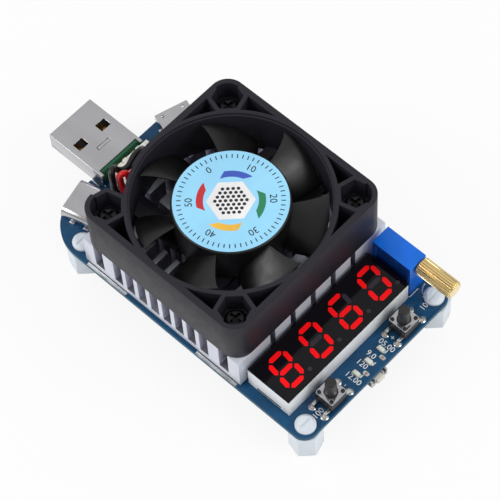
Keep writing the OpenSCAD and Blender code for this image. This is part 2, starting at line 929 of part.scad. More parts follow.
module fan_bearing() {
    color([0.72, 0.55, 0.3])
        at_fan()
            translate([0, 0, motor_base_t])
                ring(bearing_d / 2, shaft_d / 2 + turn_gap, post_h - motor_base_t);
}

module motor_board() {
    color([0.1, 0.32, 0.16])
        at_fan()
            translate([0, 0, motor_base_t])
                linear_extrude(motor_board_t)
                    difference() {
                        union() {
                            circle(stator_r);
                            translate([-lead_off - channel_w / 2 + 0.2, 0])
                                square([channel_w - 0.4, tab_l]);
                        }
                        circle(post_r);
                    }
}

module stator_core() {
    color([0.55, 0.56, 0.58])
        at_fan()
            translate([0, 0, core_z])
                linear_extrude(core_h)
                    difference() {
                        union() {
                            circle(post_r + 1.2);
                            for (k = [0:pole_count - 1])
                                rotate(k * 360 / pole_count)
                                    translate([0, -0.9])
                                        square([stator_r - 0.8, 1.8]);
                            difference() {
                                circle(stator_r);
                                circle(stator_r - 1);
                                for (k = [0:pole_count - 1])
                                    rotate((k + 0.5) * 360 / pole_count)
                                        translate([0, -0.8])
                                            square([stator_r + 1, 1.6]);
                            }
                        }
                        circle(post_r + press_gap);
                    }
}

module stator_coils() {
    start = post_r + 1.3;
    reach = sqrt(pow(stator_r - 1, 2) - pow(0.9 + coil_t, 2));
    length = reach - 0.1 - start;
    color([0.72, 0.36, 0.2])
        at_fan()
            for (k = [0:pole_count - 1])
                rotate(k * 360 / pole_count)
                    difference() {
                        translate([start, -0.9 - coil_t, core_z - coil_t])
                            cube([length, 1.8 + 2 * coil_t, core_h + 2 * coil_t]);
                        translate([start - 1, -0.9, core_z])
                            cube([length + 2, 1.8, core_h]);
                    }
}

// Point of a blade: s runs from root to tip, t from the leading to the trailing edge, side is 1 above, -1 below.
function blade_point(s, t, side) =
    let (
        r = (hub_d / 2 - hub_wall / 2) * (1 - s) + tip_r * s,
        angle = first_blade - blade_sweep * pow(1 - s, 0.7) - blade_span * t,
        high = fan_h - blade_top_gap - 0.3 * (1 - s),
        low = blade_low_gap + 0.8 * s,
        z = high - (high - low) * (0.65 * t + 0.35 * t * t),
        half = blade_t / 2 * (1 - 0.6 * pow(abs(2 * t - 1), 3))
    )
    [r * cos(angle), r * sin(angle), z + side * half];

function quad(a, b, c, d) = [[a, b, c], [a, c, d]];

function blade_index(side, i, j) = (side * blade_rows + i) * blade_cols + j;

module blade() {
    rows = blade_rows - 1;
    cols = blade_cols - 1;
    points = [
        for (side = [-1, 1], i = [0:rows], j = [0:cols]) blade_point(i / rows, j / cols, side)
    ];
    upper = [
        for (i = [0:rows - 1], j = [0:cols - 1])
            each quad(
                blade_index(1, i, j), blade_index(1, i + 1, j),
                blade_index(1, i + 1, j + 1), blade_index(1, i, j + 1)
            )
    ];
    lower = [
        for (i = [0:rows - 1], j = [0:cols - 1])
            each quad(
                blade_index(0, i, j), blade_index(0, i, j + 1),
                blade_index(0, i + 1, j + 1), blade_index(0, i + 1, j)
            )
    ];
    edges = [
        for (i = [0:rows - 1])
            each concat(
                quad(
                    blade_index(0, i, 0), blade_index(0, i + 1, 0),
                    blade_index(1, i + 1, 0), blade_index(1, i, 0)
                ),
                quad(
                    blade_index(0, i, cols), blade_index(1, i, cols),
                    blade_index(1, i + 1, cols), blade_index(0, i + 1, cols)
                )
            )
    ];
    ends = [
        for (j = [0:cols - 1])
            each concat(
                quad(
                    blade_index(0, 0, j), blade_index(1, 0, j),
                    blade_index(1, 0, j + 1), blade_index(0, 0, j + 1)
                ),
                quad(
                    blade_index(0, rows, j), blade_index(0, rows, j + 1),
                    blade_index(1, rows, j + 1), blade_index(1, rows, j)
                )
            )
    ];
    polyhedron(points, concat(upper, lower, edges, ends));
}

module fan_rotor() {
    boss_low = post_h + free_gap;
    color([0.13, 0.13, 0.15])
        at_fan()
            difference() {
                union() {
                    difference() {
                        translate([0, 0, hub_low])
                            cylinder(d = hub_d, h = hub_high - hub_low);
                        translate([0, 0, hub_low - 1])
                            cylinder(r = yoke_r, h = hub_roof - hub_low + 1);
                    }
                    translate([0, 0, boss_low])
                        cylinder(r = shaft_d / 2 + 1, h = hub_high - boss_low - hub_top_t / 2);
                    for (k = [0:blade_count - 1])
                        rotate(k * 360 / blade_count)
                            blade();
                }
                translate([0, 0, boss_low - 1])
                    cylinder(d = shaft_d, h = hub_roof - boss_low + 1);
            }
}

module rotor_yoke() {
    color([0.5, 0.5, 0.52])
        at_fan()
            translate([0, 0, hub_low + 0.2])
                ring(yoke_r, yoke_r - yoke_t, hub_roof - hub_low - 0.2);
}

module rotor_magnet() {
    color([0.2, 0.2, 0.21])
        at_fan()
            translate([0, 0, hub_low + 0.4])
                ring(magnet_r, magnet_r - magnet_t, magnet_h);
}

module rotor_shaft() {
    low = motor_base_t + 0.05;
    color([0.75, 0.76, 0.78])
        at_fan()
            translate([0, 0, low])
                cylinder(d = shaft_d, h = hub_roof - low);
}

module hub_label() {
    color([0.56, 0.85, 0.97])
        at_fan()
            translate([0, 0, hub_high])
                cylinder(d = label_d, h = label_t);
}

function unit(v) = v / norm(v);

function route_heading(route, k) =
    unit(route[min(k + 1, len(route) - 1)] - route[max(k - 1, 0)]);

// Eight points round one point of a wire's route.
function wire_ring(route, k) =
    let (
        heading = route_heading(route, k),
        across = unit(cross(heading, [1, -1, 0.3])),
        beside = cross(heading, across)
    )
    [
        for (a = [0:45:315])
            route[k] + wire_d / 2 * (cos(a) * across + sin(a) * beside)
    ];

module wire(route) {
    last = len(route) - 1;
    points = [for (k = [0:last]) each wire_ring(route, k)];
    sides = [
        for (k = [0:last - 1], a = [0:7])
            each quad(k * 8 + a, k * 8 + 8 + a, k * 8 + 8 + (a + 1) % 8, k * 8 + (a + 1) % 8)
    ];
    start_cap = [for (a = [0:7]) a];
    end_cap = [for (a = [7:-1:0]) last * 8 + a];
    polyhedron(points, concat(sides, [start_cap, end_cap]));
}

module fan_lead_red() {
    color([0.75, 0.08, 0.1])
        wire(red_route);
}

module fan_lead_black() {
    color([0.1, 0.1, 0.11])
        wire(black_route);
}

module fan_lead_plug() {
    w = socket_w - 2 * (socket_wall + plug_gap);
    d = socket_d - 2 * (socket_wall + plug_gap);
    pin_room = socket_pin + 2 * plug_gap;
    color([0.93, 0.93, 0.9])
        difference() {
            translate([socket_x, socket_y, deck + socket_wall]) {
                translate([-w / 2, -d / 2, 0])
                    cube([w, d, lead_plug_h]);
                for (side = [-1, 1])
                    translate([side * w / 4 - 0.5, d / 2 - eps, 3])
                        cube([1, socket_wall + plug_gap, lead_plug_h - 3]);
            }
            at_socket_pins()
                translate([-pin_room / 2, -pin_room / 2, deck])
                    cube([pin_room, pin_room, socket_h - 0.4]);
        }
}

module fan_socket() {
    w = socket_w - 2 * socket_wall;
    d = socket_d - 2 * socket_wall;
    color([0.95, 0.95, 0.92])
        difference() {
            translate([socket_x - socket_w / 2, socket_y - socket_d / 2, deck])
                cube([socket_w, socket_d, socket_h]);
            translate([socket_x - w / 2, socket_y - d / 2, deck + socket_wall])
                cube([w, d, socket_h]);
            for (side = [-1, 1])
                translate([socket_x + side * (w / 4 - plug_gap / 2) - 0.7, socket_y, deck + 2.6])
                    cube([1.4, socket_d, socket_h]);
            at_socket_pins()
                translate([-socket_pin / 2, -socket_pin / 2, deck - 1])
                    cube([socket_pin, socket_pin, socket_wall + 2]);
        }
}

module fan_socket_pins() {
    low = foot_h - 1.5;
    color([0.8, 0.78, 0.72])
        at_socket_pins()
            translate([-socket_pin / 2, -socket_pin / 2, low])
                cube([socket_pin, socket_pin, deck + socket_h - 0.6 - low]);
}

module plug_shell() {
    slit_l = 3.4;
    slit_w = 0.8;
    opening_w = plug_w - 2 * plug_tab_w;
    color([0.72, 0.74, 0.77])
        difference() {
            union() {
                translate([plug_x - plug_w / 2, plug_rear, plug_z])
                    difference() {
                        cube([plug_w, plug_l, plug_h]);
                        translate([sheet_t, -1, sheet_t])
                            cube([plug_w - 2 * sheet_t, plug_l + 2, plug_h - 2 * sheet_t]);
                    }
                at_plug_legs()
                    translate([-sheet_t / 2, -plug_leg_l / 2, foot_h - 0.8])
                        cube([sheet_t, plug_leg_l, board_t + plug_lift + 1.8]);
            }
            for (side = [-1, 1]) {
                translate([plug_x + side * window_off - window_w / 2, plug_tip - window_back - window_l / 2, 0])
                    cube([window_w, window_l, plug_z + 2 * plug_h]);
            }
            translate([plug_x - opening_w / 2, plug_rear - 1, plug_z - 1])
                cube([opening_w, plug_tab_l + 1, 2 * plug_h]);
            translate([plug_x - slit_l / 2, plug_tip - window_back - 3.45 - slit_w / 2, plug_z + plug_h / 2])
                cube([slit_l, slit_w, plug_h]);
        }
}

module plug_contact(x) {
    tail_t = 0.3;
    translate([plug_x + x - contact_w / 2, insulator_rear - tail_t, 0]) {
        translate([0, 0, tongue_top])
            cube([contact_w, plug_tip - 1 - insulator_rear + tail_t, contact_t]);
        translate([0, 0, deck])
            cube([contact_w, tail_t, tongue_top + contact_t - deck]);
        translate([0, -0.4, deck])
            cube([contact_w, 0.4 + eps, 0.2]);
    }
}

module plug_contacts() {
    color([0.85, 0.66, 0.3])
        for (x = contact_offs)
            plug_contact(x);
}

module plug_insulator() {
    w = plug_w - 2 * sheet_t;
    h = plug_h - 2 * sheet_t;
    color([0.07, 0.2, 0.16])
        difference() {
            translate([plug_x - w / 2, insulator_rear, plug_z + sheet_t]) {
                cube([w, plug_tip - 0.4 - insulator_rear, tongue_t]);
                cube([w, block_l, h]);
            }
            for (x = contact_offs)
                plug_contact(x);
        }
}

module wide_port_section(inset) {
    r = wide_h / 2 - 0.1 - inset;
    translate([0, wide_h / 2])
        rounded(wide_w - 2 * inset, wide_h - 2 * inset, r, r);
}

// Stands a section drawn in X and Z up, and runs it from the mouth backwards.
module run_back(from, to) {
    translate([0, -from, 0])
        rotate([90, 0, 0])
            linear_extrude(to - from)
                children();
}

module wide_port_shell() {
    tab = 0.9;
    color([0.72, 0.74, 0.77])
        at_wide_port() {
            run_back(0, wide_d)
                difference() {
                    wide_port_section(0);
                    wide_port_section(sheet_t);
                }
            for (side = [-1, 1], y = [-wide_d + 0.8, -wide_d + 4.2])
                translate([side * (wide_w / 2 - 1.2 + tab / 2) - tab / 2 - 0.6, y, 0])
                    cube([tab + 1.2, 1.2, sheet_t]);
        }
}

module wide_port_tongue() {
    color([0.1, 0.1, 0.11])
        at_wide_port() {
            run_back(wide_d - 1.6, wide_d)
                wide_port_section(sheet_t);
            translate([-3.35, -wide_d + 1.5, wide_h / 2 - 0.35])
                cube([6.7, wide_d - 2.4, 0.7]);
        }
}

// Small port's mouth: a flat top with upright sides and slanted lower corners.
module small_port_section(inset) {
    half = small_w / 2 - inset;
    low = half - 1.1;
    polygon([
        [-low, inset],
        [low, inset],
        [half, inset + 1],
        [half, small_h - inset],
        [-half, small_h - inset],
        [-half, inset + 1]
    ]);
}

module small_port_shell() {
    hole_r = 0.35;
    color([0.72, 0.74, 0.77])
        at_small_port() {
            difference() {
                run_back(0, small_d)
                    difference() {
                        small_port_section(0);
                        small_port_section(sheet_t);
                    }
                for (side = [-1, 1])
                    translate([side * small_w * 0.32, -small_d * 0.21, small_h / 2])
                        cylinder(r = hole_r, h = small_h);
            }
            for (side = [-1, 1])
                translate([side * (small_w / 2 - 0.45) - 0.95, -small_d + 1.4, 0])
                    cube([1.9, 1.4, sheet_t]);
        }
}

module small_port_tongue() {
    color([0.1, 0.1, 0.11])
        at_small_port() {
            run_back(small_d - 1.4, small_d)
                small_port_section(sheet_t);
            translate([-1.8, -small_d + 1.3, small_h - 1.1])
                cube([3.6, small_d - 2, 0.5]);
        }
}

module display_case() {
    seam_l = 6.3;
    seam_h = 0.3;
    color([0.9, 0.91, 0.92])
        difference() {
            translate([display_x, display_y, deck])
                cube([display_w, display_d, display_h - face_t]);
            translate([display_x - 1, display_y + 2.2, deck + 0.45])
                cube([2.5, seam_l, seam_h]);
        }
}

function lean(p) = [p[0] + p[1] * tan(digit_lean), p[1]];

// Outline of one segment, lying along X or upright, about a middle point.
function segment_outline(mid, length, upright, grow) =
    let (
        a = length / 2 - segment_space + grow,
        b = segment_w / 2 + grow,
        flat = [[-a, 0], [b - a, b], [a - b, b], [a, 0], [a - b, -b], [b - a, -b]]
    )
    [for (p = flat) lean(mid + (upright ? [p[1], -p[0]] : p))];

// Segments in the usual order: top, right upper, right lower, bottom, left lower, left upper, middle.
function digit_segment(k, grow) =
    let (w = digit_w / 2, h = digit_h / 2)
    k == 0 ? segment_outline([0, h], digit_w, false, grow) :
    k == 1 ? segment_outline([w, h / 2], h, true, grow) :
    k == 2 ? segment_outline([w, -h / 2], h, true, grow) :
    k == 3 ? segment_outline([0, -h], digit_w, false, grow) :
    k == 4 ? segment_outline([-w, -h / 2], h, true, grow) :
    k == 5 ? segment_outline([-w, h / 2], h, true, grow) :
    segment_outline([0, 0], digit_w, false, grow);

module at_digit(k) {
    translate([display_mid[0] + (k - 1.5) * digit_pitch, display_mid[1]])
        children();
}

module segments(state, grow) {
    for (k = [0:3], s = [0:6])
        if (lit[k][s] == state)
            at_digit(k)
                polygon(digit_segment(s, grow));
}

module decimal_points(grow) {
    for (k = [0:3])
        at_digit(k)
            translate([digit_w / 2 + 1.1, -digit_h / 2 + 0.1])
                circle(d = point_d + 2 * grow);
}

module display_face() {
    color([0.05, 0.05, 0.06])
        translate([0, 0, face_z])
            linear_extrude(face_t)
                difference() {
                    translate([display_x, display_y])
                        square([display_w, display_d]);
                    segments(1, 0.02);
                    segments(0, 0.02);
                    decimal_points(0.02);
                }
}

module lit_segments() {
    color([1, 0.06, 0.08])
        translate([0, 0, face_z])
            linear_extrude(face_t - 0.02)
                segments(1, 0);
}

module unlit_segments() {
    color([0.22, 0.2, 0.23])
        translate([0, 0, face_z])
            linear_extrude(face_t - 0.02) {
                segments(0, 0);
                decimal_points(0);
            }
}

module display_pins() {
    low = foot_h - 1.6;
    color([0.78, 0.78, 0.76])
        at_display_pins()
            translate([-display_pin / 2, -display_pin / 2, low])
                cube([display_pin, display_pin, deck - low]);
}

module switch_bases() {
    side = switch_side - 0.2;
    color([0.12, 0.12, 0.13])
        at_switches()
            translate([0, 0, deck])
                difference() {
                    union() {
                        translate([-side / 2, -side / 2, 0])
                            cube([side, side, switch_base_h]);
                        for (sx = [-1, 1], sy = [-1, 1])
                            translate([sx * rivet_off, sy * rivet_off, switch_base_h - eps])
                                cylinder(r = rivet_r, h = switch_plate_t + 0.12);
                    }
                    translate([0, 0, dome_floor])
                        cylinder(r = flange_r + slide_gap, h = switch_h);
                }
}

module switch_covers() {
    color([0.75, 0.77, 0.8])
        at_switches()
            translate([0, 0, deck + switch_base_h])
                linear_extrude(switch_plate_t)
                    difference() {
                        rounded(switch_side, switch_side, 0.5, 0.5);
                        circle(d = stem_d + 2 * slide_gap);
                        for (sx = [-1, 1], sy = [-1, 1])
                            translate([sx * rivet_off, sy * rivet_off])
                                circle(rivet_r);
                    }
}

module switch_legs() {
    leg_t = 0.3;
    bend = 1.1;
    start = switch_side / 2 - 0.1;
    color([0.8, 0.8, 0.8])
        at_switches()
            translate([0, 0, deck])
                for (turn = [0, 180], y = [-1, 1])
                    rotate(turn)
                        translate([0, y * leg_pitch / 2 - leg_w / 2, 0]) {
                            translate([start, 0, bend - leg_t])
                                cube([leg_span / 2 + leg_t / 2 - start, leg_w, leg_t]);
                            translate([leg_span / 2 - leg_t / 2, 0.1, -board_t - 0.9])
                                cube([leg_t, leg_w - 0.2, board_t + 0.9 + bend]);
                        }
}

module snap_domes() {
    color([0.76, 0.77, 0.79])
        at_switches()
            translate([0, 0, deck + dome_floor])
                difference() {
                    cylinder(r1 = flange_r, r2 = flange_r * 0.45, h = 0.35);
                    translate([0, 0, -0.12])
                        cylinder(r1 = flange_r, r2 = flange_r * 0.45, h = 0.35);
                }
}

module button(x) {
    flange_top = switch_base_h - 0.04;
    edge = 0.2;
    translate([x, switch_y, deck]) {
        translate([0, 0, stem_low])
            cylinder(r = flange_r, h = flange_top - stem_low);
        translate([0, 0, flange_top - eps])
            cylinder(d = stem_d, h = switch_h + 0.3 - flange_top + eps);
        translate([0, 0, switch_h + 0.3 - eps])
            cylinder(d1 = stem_d - 0.1, d2 = stem_tip_d, h = stem_h - edge - switch_h - 0.3 + eps);
        translate([0, 0, stem_h - edge - eps])
            cylinder(d1 = stem_tip_d, d2 = stem_tip_d - 2 * edge, h = edge + eps);
    }
}

module left_button() {
    color([0.11, 0.11, 0.12])
        button(left_switch_x);
}

module right_button() {
    color([0.11, 0.11, 0.12])
        button(right_switch_x);
}

module side_switch_base() {
    room_w = side_button_w + 1;
    room_h = side_button_h + 0.2;
    room_l = side_skin + 0.7 + side_travel;
    color([0.12, 0.12, 0.13])
        difference() {
            translate([side_x - side_w / 2, side_front + side_skin, side_z])
                cube([side_w, side_d - side_skin, side_h - side_skin]);
            translate([side_x - room_w / 2, side_front, side_button_z - room_h / 2])
                cube([room_w, room_l, side_h]);
        }
}

// Bent steel sheet over the front and the top, with a slot for the button.
module side_switch_cover() {
    slot_w = side_button_w + 2 * slide_gap;
    slot_l = side_d - 0.8;
    slot_low = side_button_z - side_button_h / 2 - slide_gap;
    corner = 0.55;
    color([0.75, 0.77, 0.8])
        difference() {
            translate([side_x - side_w / 2, side_front, side_z])
                cube([side_w, side_d, side_h]);
            translate([side_x - side_w, side_front + side_skin, side_z - 1])
                cube([2 * side_w, side_d, side_h - side_skin + 1]);
            translate([side_x - slot_w / 2, side_front - 1, slot_low])
                cube([slot_w, slot_l + 1, side_h]);
            for (side = [-1, 1])
                translate([side_x + side * (side_w / 2 - 0.7) - corner / 2, side_front - 1, side_z + side_h - 2 * corner])
                    cube([corner, 1 + 2 * corner, 3 * corner]);
        }
}

module side_button() {
    flange_w = side_button_w + 0.8;
    flange_y = side_front + side_skin + 0.04;
    round_r = side_button_h / 2;
    color([0.88, 0.84, 0.74])
        translate([side_x, 0, side_button_z]) {
            translate([-flange_w / 2, flange_y, -side_button_h / 2])
                cube([flange_w, 0.5, side_button_h]);
            translate([-side_button_w / 2, side_front - side_button_reach + round_r, -side_button_h / 2])
                cube([side_button_w, flange_y + 0.1 - side_front + side_button_reach - round_r, side_button_h]);
            translate([-side_button_w / 2, side_front - side_button_reach + round_r, 0])
                rotate([0, 90, 0])
                    cylinder(r = round_r, h = side_button_w);
        }
}

module trimmer_body() {
    rib = 0.9;
    cap = 1.3;
    dip = 0.35;
    color([0.1, 0.36, 0.78])
        difference() {
            translate([trimmer_x, trimmer_y, deck])
                cube([trimmer_w, trimmer_l, trimmer_l]);
            translate([trimmer_x - 1, trimmer_y + rib, deck - 1])
                cube([dip + 1, trimmer_l - 2 * rib, trimmer_l - cap + 1]);
            for (y = [trimmer_y + 2.4, trimmer_y + trimmer_l - 3.6])
                translate([trimmer_x - 1, y, deck])
                    cube([dip + 1, 1.2, trimmer_l - 0.5]);
            translate([adjuster_x, trimmer_y - 1, adjuster_z])
                rotate([-90, 0, 0])
                    cylinder(d = adjuster_d + 2 * turn_gap, h = adjuster_l + 1);
        }
}

module trimmer_pins() {
    low = foot_h - 1.6;
    color([0.78, 0.78, 0.76])
        at_trimmer_pins()
            translate([-display_pin / 2, -display_pin / 2, low])
                cube([display_pin, display_pin, deck - low]);
}

module trimmer_adjuster() {
    color([0.8, 0.62, 0.3])
        translate([adjuster_x, knob_back - knob_hole, adjuster_z])
            rotate([-90, 0, 0])
                cylinder(d = adjuster_d, h = knob_hole + free_gap + adjuster_l - 0.2);
}

module trimmer_knob() {
    edge = 0.5;
    flute_r = knob_d * 0.07;
    color([0.86, 0.67, 0.34])
        translate([adjuster_x, knob_back, adjuster_z])
            rotate([90, 0, 0])
                difference() {
                    union() {
                        cylinder(d = knob_d, h = knob_l - edge);
                        translate([0, 0, knob_l - edge])
                            cylinder(d1 = knob_d, d2 = knob_d - 2 * edge, h = edge);
                    }
                    translate([0, 0, -1])
                        cylinder(d = adjuster_d, h = knob_hole + 1);
                    for (k = [0:flute_count - 1])
                        rotate(k * 360 / flute_count)
                            translate([knob_d / 2 + flute_r * 0.4, 0, 1])
                                cylinder(r = flute_r, h = knob_l, $fn = 24);
                }
}

module lamp_bodies() {
    color([0.93, 0.93, 0.86])
        at_lamps() {
            translate([-lamp_w / 2, -lamp_l / 2 + 0.3, 0])
                cube([lamp_w, lamp_l - 0.6, lamp_h * 0.4]);
            translate([-lamp_w / 2 + 0.05, -lamp_l / 2 + 0.35, lamp_h * 0.4 - eps])
                cube([lamp_w - 0.1, lamp_l - 0.7, lamp_h * 0.6 + eps]);
        }
}

module lamp_ends() {
    color([0.82, 0.82, 0.82])
        at_lamps()
            for (y = [-lamp_l / 2, lamp_l / 2 - 0.3])
                translate([-lamp_w / 2, y, 0])
                    cube([lamp_w, 0.3, lamp_h * 0.4]);
}

// Places a part against the underside of the board, its height running down.
module under_board(x, y) {
    translate([sink_x + x, sink_y + y, foot_h])
        mirror([0, 0, 1])
            children();
}

module at_transistors() {
    for (side = [-1, 1])
        under_board(side * transistor_pitch / 2, 0)
            children();
}

module power_transistors() {
    color([0.1, 0.1, 0.1])
        at_transistors()
            translate([-transistor_w / 2, -transistor_l / 2, 0.5])
                cube([transistor_w, transistor_l, transistor_h - 0.5]);
}

module transistor_tabs() {
    color([0.78, 0.78, 0.78])
        at_transistors() {
            translate([-transistor_w / 2 + 0.6, -transistor_l / 2, 0])
                cube([transistor_w - 1.2, transistor_l + 1.2, 0.5]);
            for (side = [-1, 1])
                translate([side * 2.28 - 0.4, -transistor_l / 2 - 2.6, 0])
                    cube([0.8, 2.6 + eps, 0.5]);
        }
}

module sense_resistor() {
    color([0.15, 0.15, 0.16])
        under_board(0, 12)
            translate([-3.2, -1.6, 0])
                cube([6.4, 3.2, 0.8]);
}

module controller_chip() {
    color([0.1, 0.1, 0.1])
        under_board(0, controller_y - sink_y)
            translate([-controller_side / 2, -controller_side / 2, 0.1])
                cube([controller_side, controller_side, chip_h]);
}

module amplifier_chip() {
    color([0.1, 0.1, 0.1])
        under_board(-12, controller_y - sink_y)
            translate([-2.5, -2, 0.1])
                cube([5, 4, chip_h]);
}

module voltage_regulator() {
    color([0.1, 0.1, 0.1])
        under_board(12, controller_y - sink_y)
            translate([-2.3, -1.25, 0])
                cube([4.6, 2.5, chip_h]);
}

// One bent lead that leaves a chip's side at the origin along X and ends flat on the board.
module chip_lead(width) {
    translate([0, -width / 2, 0])
        cube([0.9, width, 0.15]);
    translate([0, -width / 2, 0])
        cube([0.25, width, 0.8]);
}

module chip_leads() {
    color([0.78, 0.78, 0.78]) {
        under_board(0, controller_y - sink_y)
            for (turn = [0:90:270], k = [-3.5:1:3.5])
                rotate(turn)
                    translate([controller_side / 2, k * lead_pitch, 0])
                        chip_lead(0.35);
        under_board(-12, controller_y - sink_y)
            for (turn = [90, 270], k = [-1.5:1:1.5])
                rotate(turn)
                    translate([2, k * 1.27, 0])
                        chip_lead(0.4);
        under_board(12, controller_y - sink_y)
            for (k = [-1:1])
                rotate(270)
                    translate([1.25, k * 1.5, 0])
                        chip_lead(0.5);
    }
}

module chip_capacitors() {
    color([0.62, 0.5, 0.36])
        for (spot = capacitor_spots)
            under_board(spot[0], spot[1])
                translate([-1, -0.6, 0])
                    cube([2, 1.2, 0.9]);
}

circuit_board();
edge_strips();
standoffs();
board_screws();
thermal_pad();
heat_sink();
heat_sink_screws();
fan_frame();
fan_screws();
fan_bearing();
motor_board();
stator_core();
stator_coils();
fan_rotor();
rotor_yoke();
rotor_magnet();
rotor_shaft();
hub_label();
fan_lead_red();
fan_lead_black();
fan_lead_plug();
fan_socket();
fan_socket_pins();
plug_shell();
plug_insulator();
plug_contacts();
wide_port_shell();
wide_port_tongue();
small_port_shell();
small_port_tongue();
display_case();
display_face();
lit_segments();
unlit_segments();
display_pins();
switch_bases();
switch_covers();
switch_legs();
snap_domes();
left_button();
right_button();
side_switch_base();
side_switch_cover();
side_button();
trimmer_body();
trimmer_pins();
trimmer_adjuster();
trimmer_knob();
lamp_bodies();
lamp_ends();
power_transistors();
transistor_tabs();
sense_resistor();
controller_chip();
amplifier_chip();
voltage_regulator();
chip_leads();
chip_capacitors();
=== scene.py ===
import functools
import json
import math

import bmesh
import bpy
from bpy.props import FloatProperty, FloatVectorProperty, IntProperty, PointerProperty
from mathutils import Matrix, Vector


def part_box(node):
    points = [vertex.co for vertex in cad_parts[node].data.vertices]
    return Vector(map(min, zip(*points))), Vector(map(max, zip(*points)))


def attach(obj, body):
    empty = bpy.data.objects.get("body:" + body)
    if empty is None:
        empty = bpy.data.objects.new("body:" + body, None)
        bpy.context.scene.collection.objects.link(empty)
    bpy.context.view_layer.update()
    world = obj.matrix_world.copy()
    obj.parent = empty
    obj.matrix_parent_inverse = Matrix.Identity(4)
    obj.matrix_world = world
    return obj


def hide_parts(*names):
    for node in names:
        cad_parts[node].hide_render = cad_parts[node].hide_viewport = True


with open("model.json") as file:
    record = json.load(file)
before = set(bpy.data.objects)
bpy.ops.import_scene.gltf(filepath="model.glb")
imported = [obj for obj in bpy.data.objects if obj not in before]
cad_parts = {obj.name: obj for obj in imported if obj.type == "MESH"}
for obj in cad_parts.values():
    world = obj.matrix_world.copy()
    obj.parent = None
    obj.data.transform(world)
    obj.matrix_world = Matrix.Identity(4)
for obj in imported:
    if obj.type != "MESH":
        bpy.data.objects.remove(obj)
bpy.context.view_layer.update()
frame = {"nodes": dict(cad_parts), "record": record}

bl_info = {
    "name": "DC electronic load",
    "version": (1, 0, 0),
    "blender": (4, 5, 0),
    "location": "View3D > Sidebar > Load",
    "description": "Dresses the packed CAD frame of a small fan-cooled DC electronic load",
    "category": "Object",
}

MM = 0.001
NODES = frame["nodes"]
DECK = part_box("circuit_board")[1].z
FAN_LOW, FAN_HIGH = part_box("fan_frame")
FAN_MIDDLE = (FAN_LOW + FAN_HIGH) / 2
SHARP_ANGLE = 32


def span(node):
    """Middle and size of a CAD node's box."""
    low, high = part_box(node)
    return (low + high) / 2, high - low


# Settings

ColourProperty = functools.partial(FloatVectorProperty, subtype="COLOR_GAMMA", min=0, max=1)
LengthProperty = functools.partial(FloatProperty, unit="LENGTH")
AngleProperty = functools.partial(FloatProperty, subtype="ANGLE")
SideProperty = functools.partial(FloatVectorProperty, subtype="DIRECTION")
LevelProperty = functools.partial(FloatProperty, min=0)


class LoadColours(bpy.types.PropertyGroup):
    """Colours of the load's finishes, as they look on a screen"""

    board: ColourProperty(
        name="Board", description="Solder mask of the circuit board", default=(0.045, 0.26, 0.405))
    fan: ColourProperty(
        name="Fan", description="Moulded plastic of the fan frame", default=(0.13, 0.128, 0.16))
    rotor: ColourProperty(
        name="Rotor", description="Moulded plastic of the fan's hub and blades", default=(0.06, 0.06, 0.065))
    label: ColourProperty(
        name="Label", description="Round label on the fan's hub", default=(0.59, 0.835, 0.965))
    segment: ColourProperty(
        name="Lit segment", description="Light of the display's segments", default=(1.0, 0.07, 0.09))
    trimmer: ColourProperty(
        name="Trimmer", description="Body of the trimmer", default=(0.06, 0.42, 0.86))
    brass: ColourProperty(
        name="Knob", description="Turned brass of the knob", default=(0.98, 0.89, 0.68))
    aluminium: ColourProperty(
        name="Heat sink", description="Bare aluminium of the heat sink", default=(0.86, 0.875, 0.92))
    steel: ColourProperty(
        name="Shells", description="Plated steel of the plug, ports and switch covers", default=(0.76, 0.755, 0.77))
    nylon: ColourProperty(
        name="Nylon", description="Feet and their screws", default=(0.87, 0.9, 0.93))


class LoadSizes(bpy.types.PropertyGroup):
    """Sizes of the details that the CAD frame leaves to the looks"""

    moulded_edge: LengthProperty(
        name="Moulded edge", description="Radius on the edges of moulded plastic",
        default=0.18 * MM, min=0, max=1 * MM)
    cut_edge: LengthProperty(
        name="Cut edge", description="Radius on the edges of cut metal", default=0.09 * MM, min=0, max=1 * MM)
    fine_edge: LengthProperty(
        name="Fine edge", description="Radius on the edges of small stamped pieces",
        default=0.05 * MM, min=0, max=1 * MM)
    wire_diameter: LengthProperty(
        name="Wire", description="Diameter of the fan's two wires", default=1.4 * MM, min=0.5 * MM, max=3 * MM)
    print_height: LengthProperty(
        name="Print", description="Thickness of printed ink on the board and the label",
        default=0.02 * MM, min=0.005 * MM, max=0.1 * MM)
    pad_radius: LengthProperty(
        name="Solder pad", description="Radius of the solder round the switch legs",
        default=0.85 * MM, min=0.3 * MM, max=2 * MM)
    blade_count: IntProperty(
        name="Blades", description="Number of blades on the rotor", default=7, min=3, max=11)


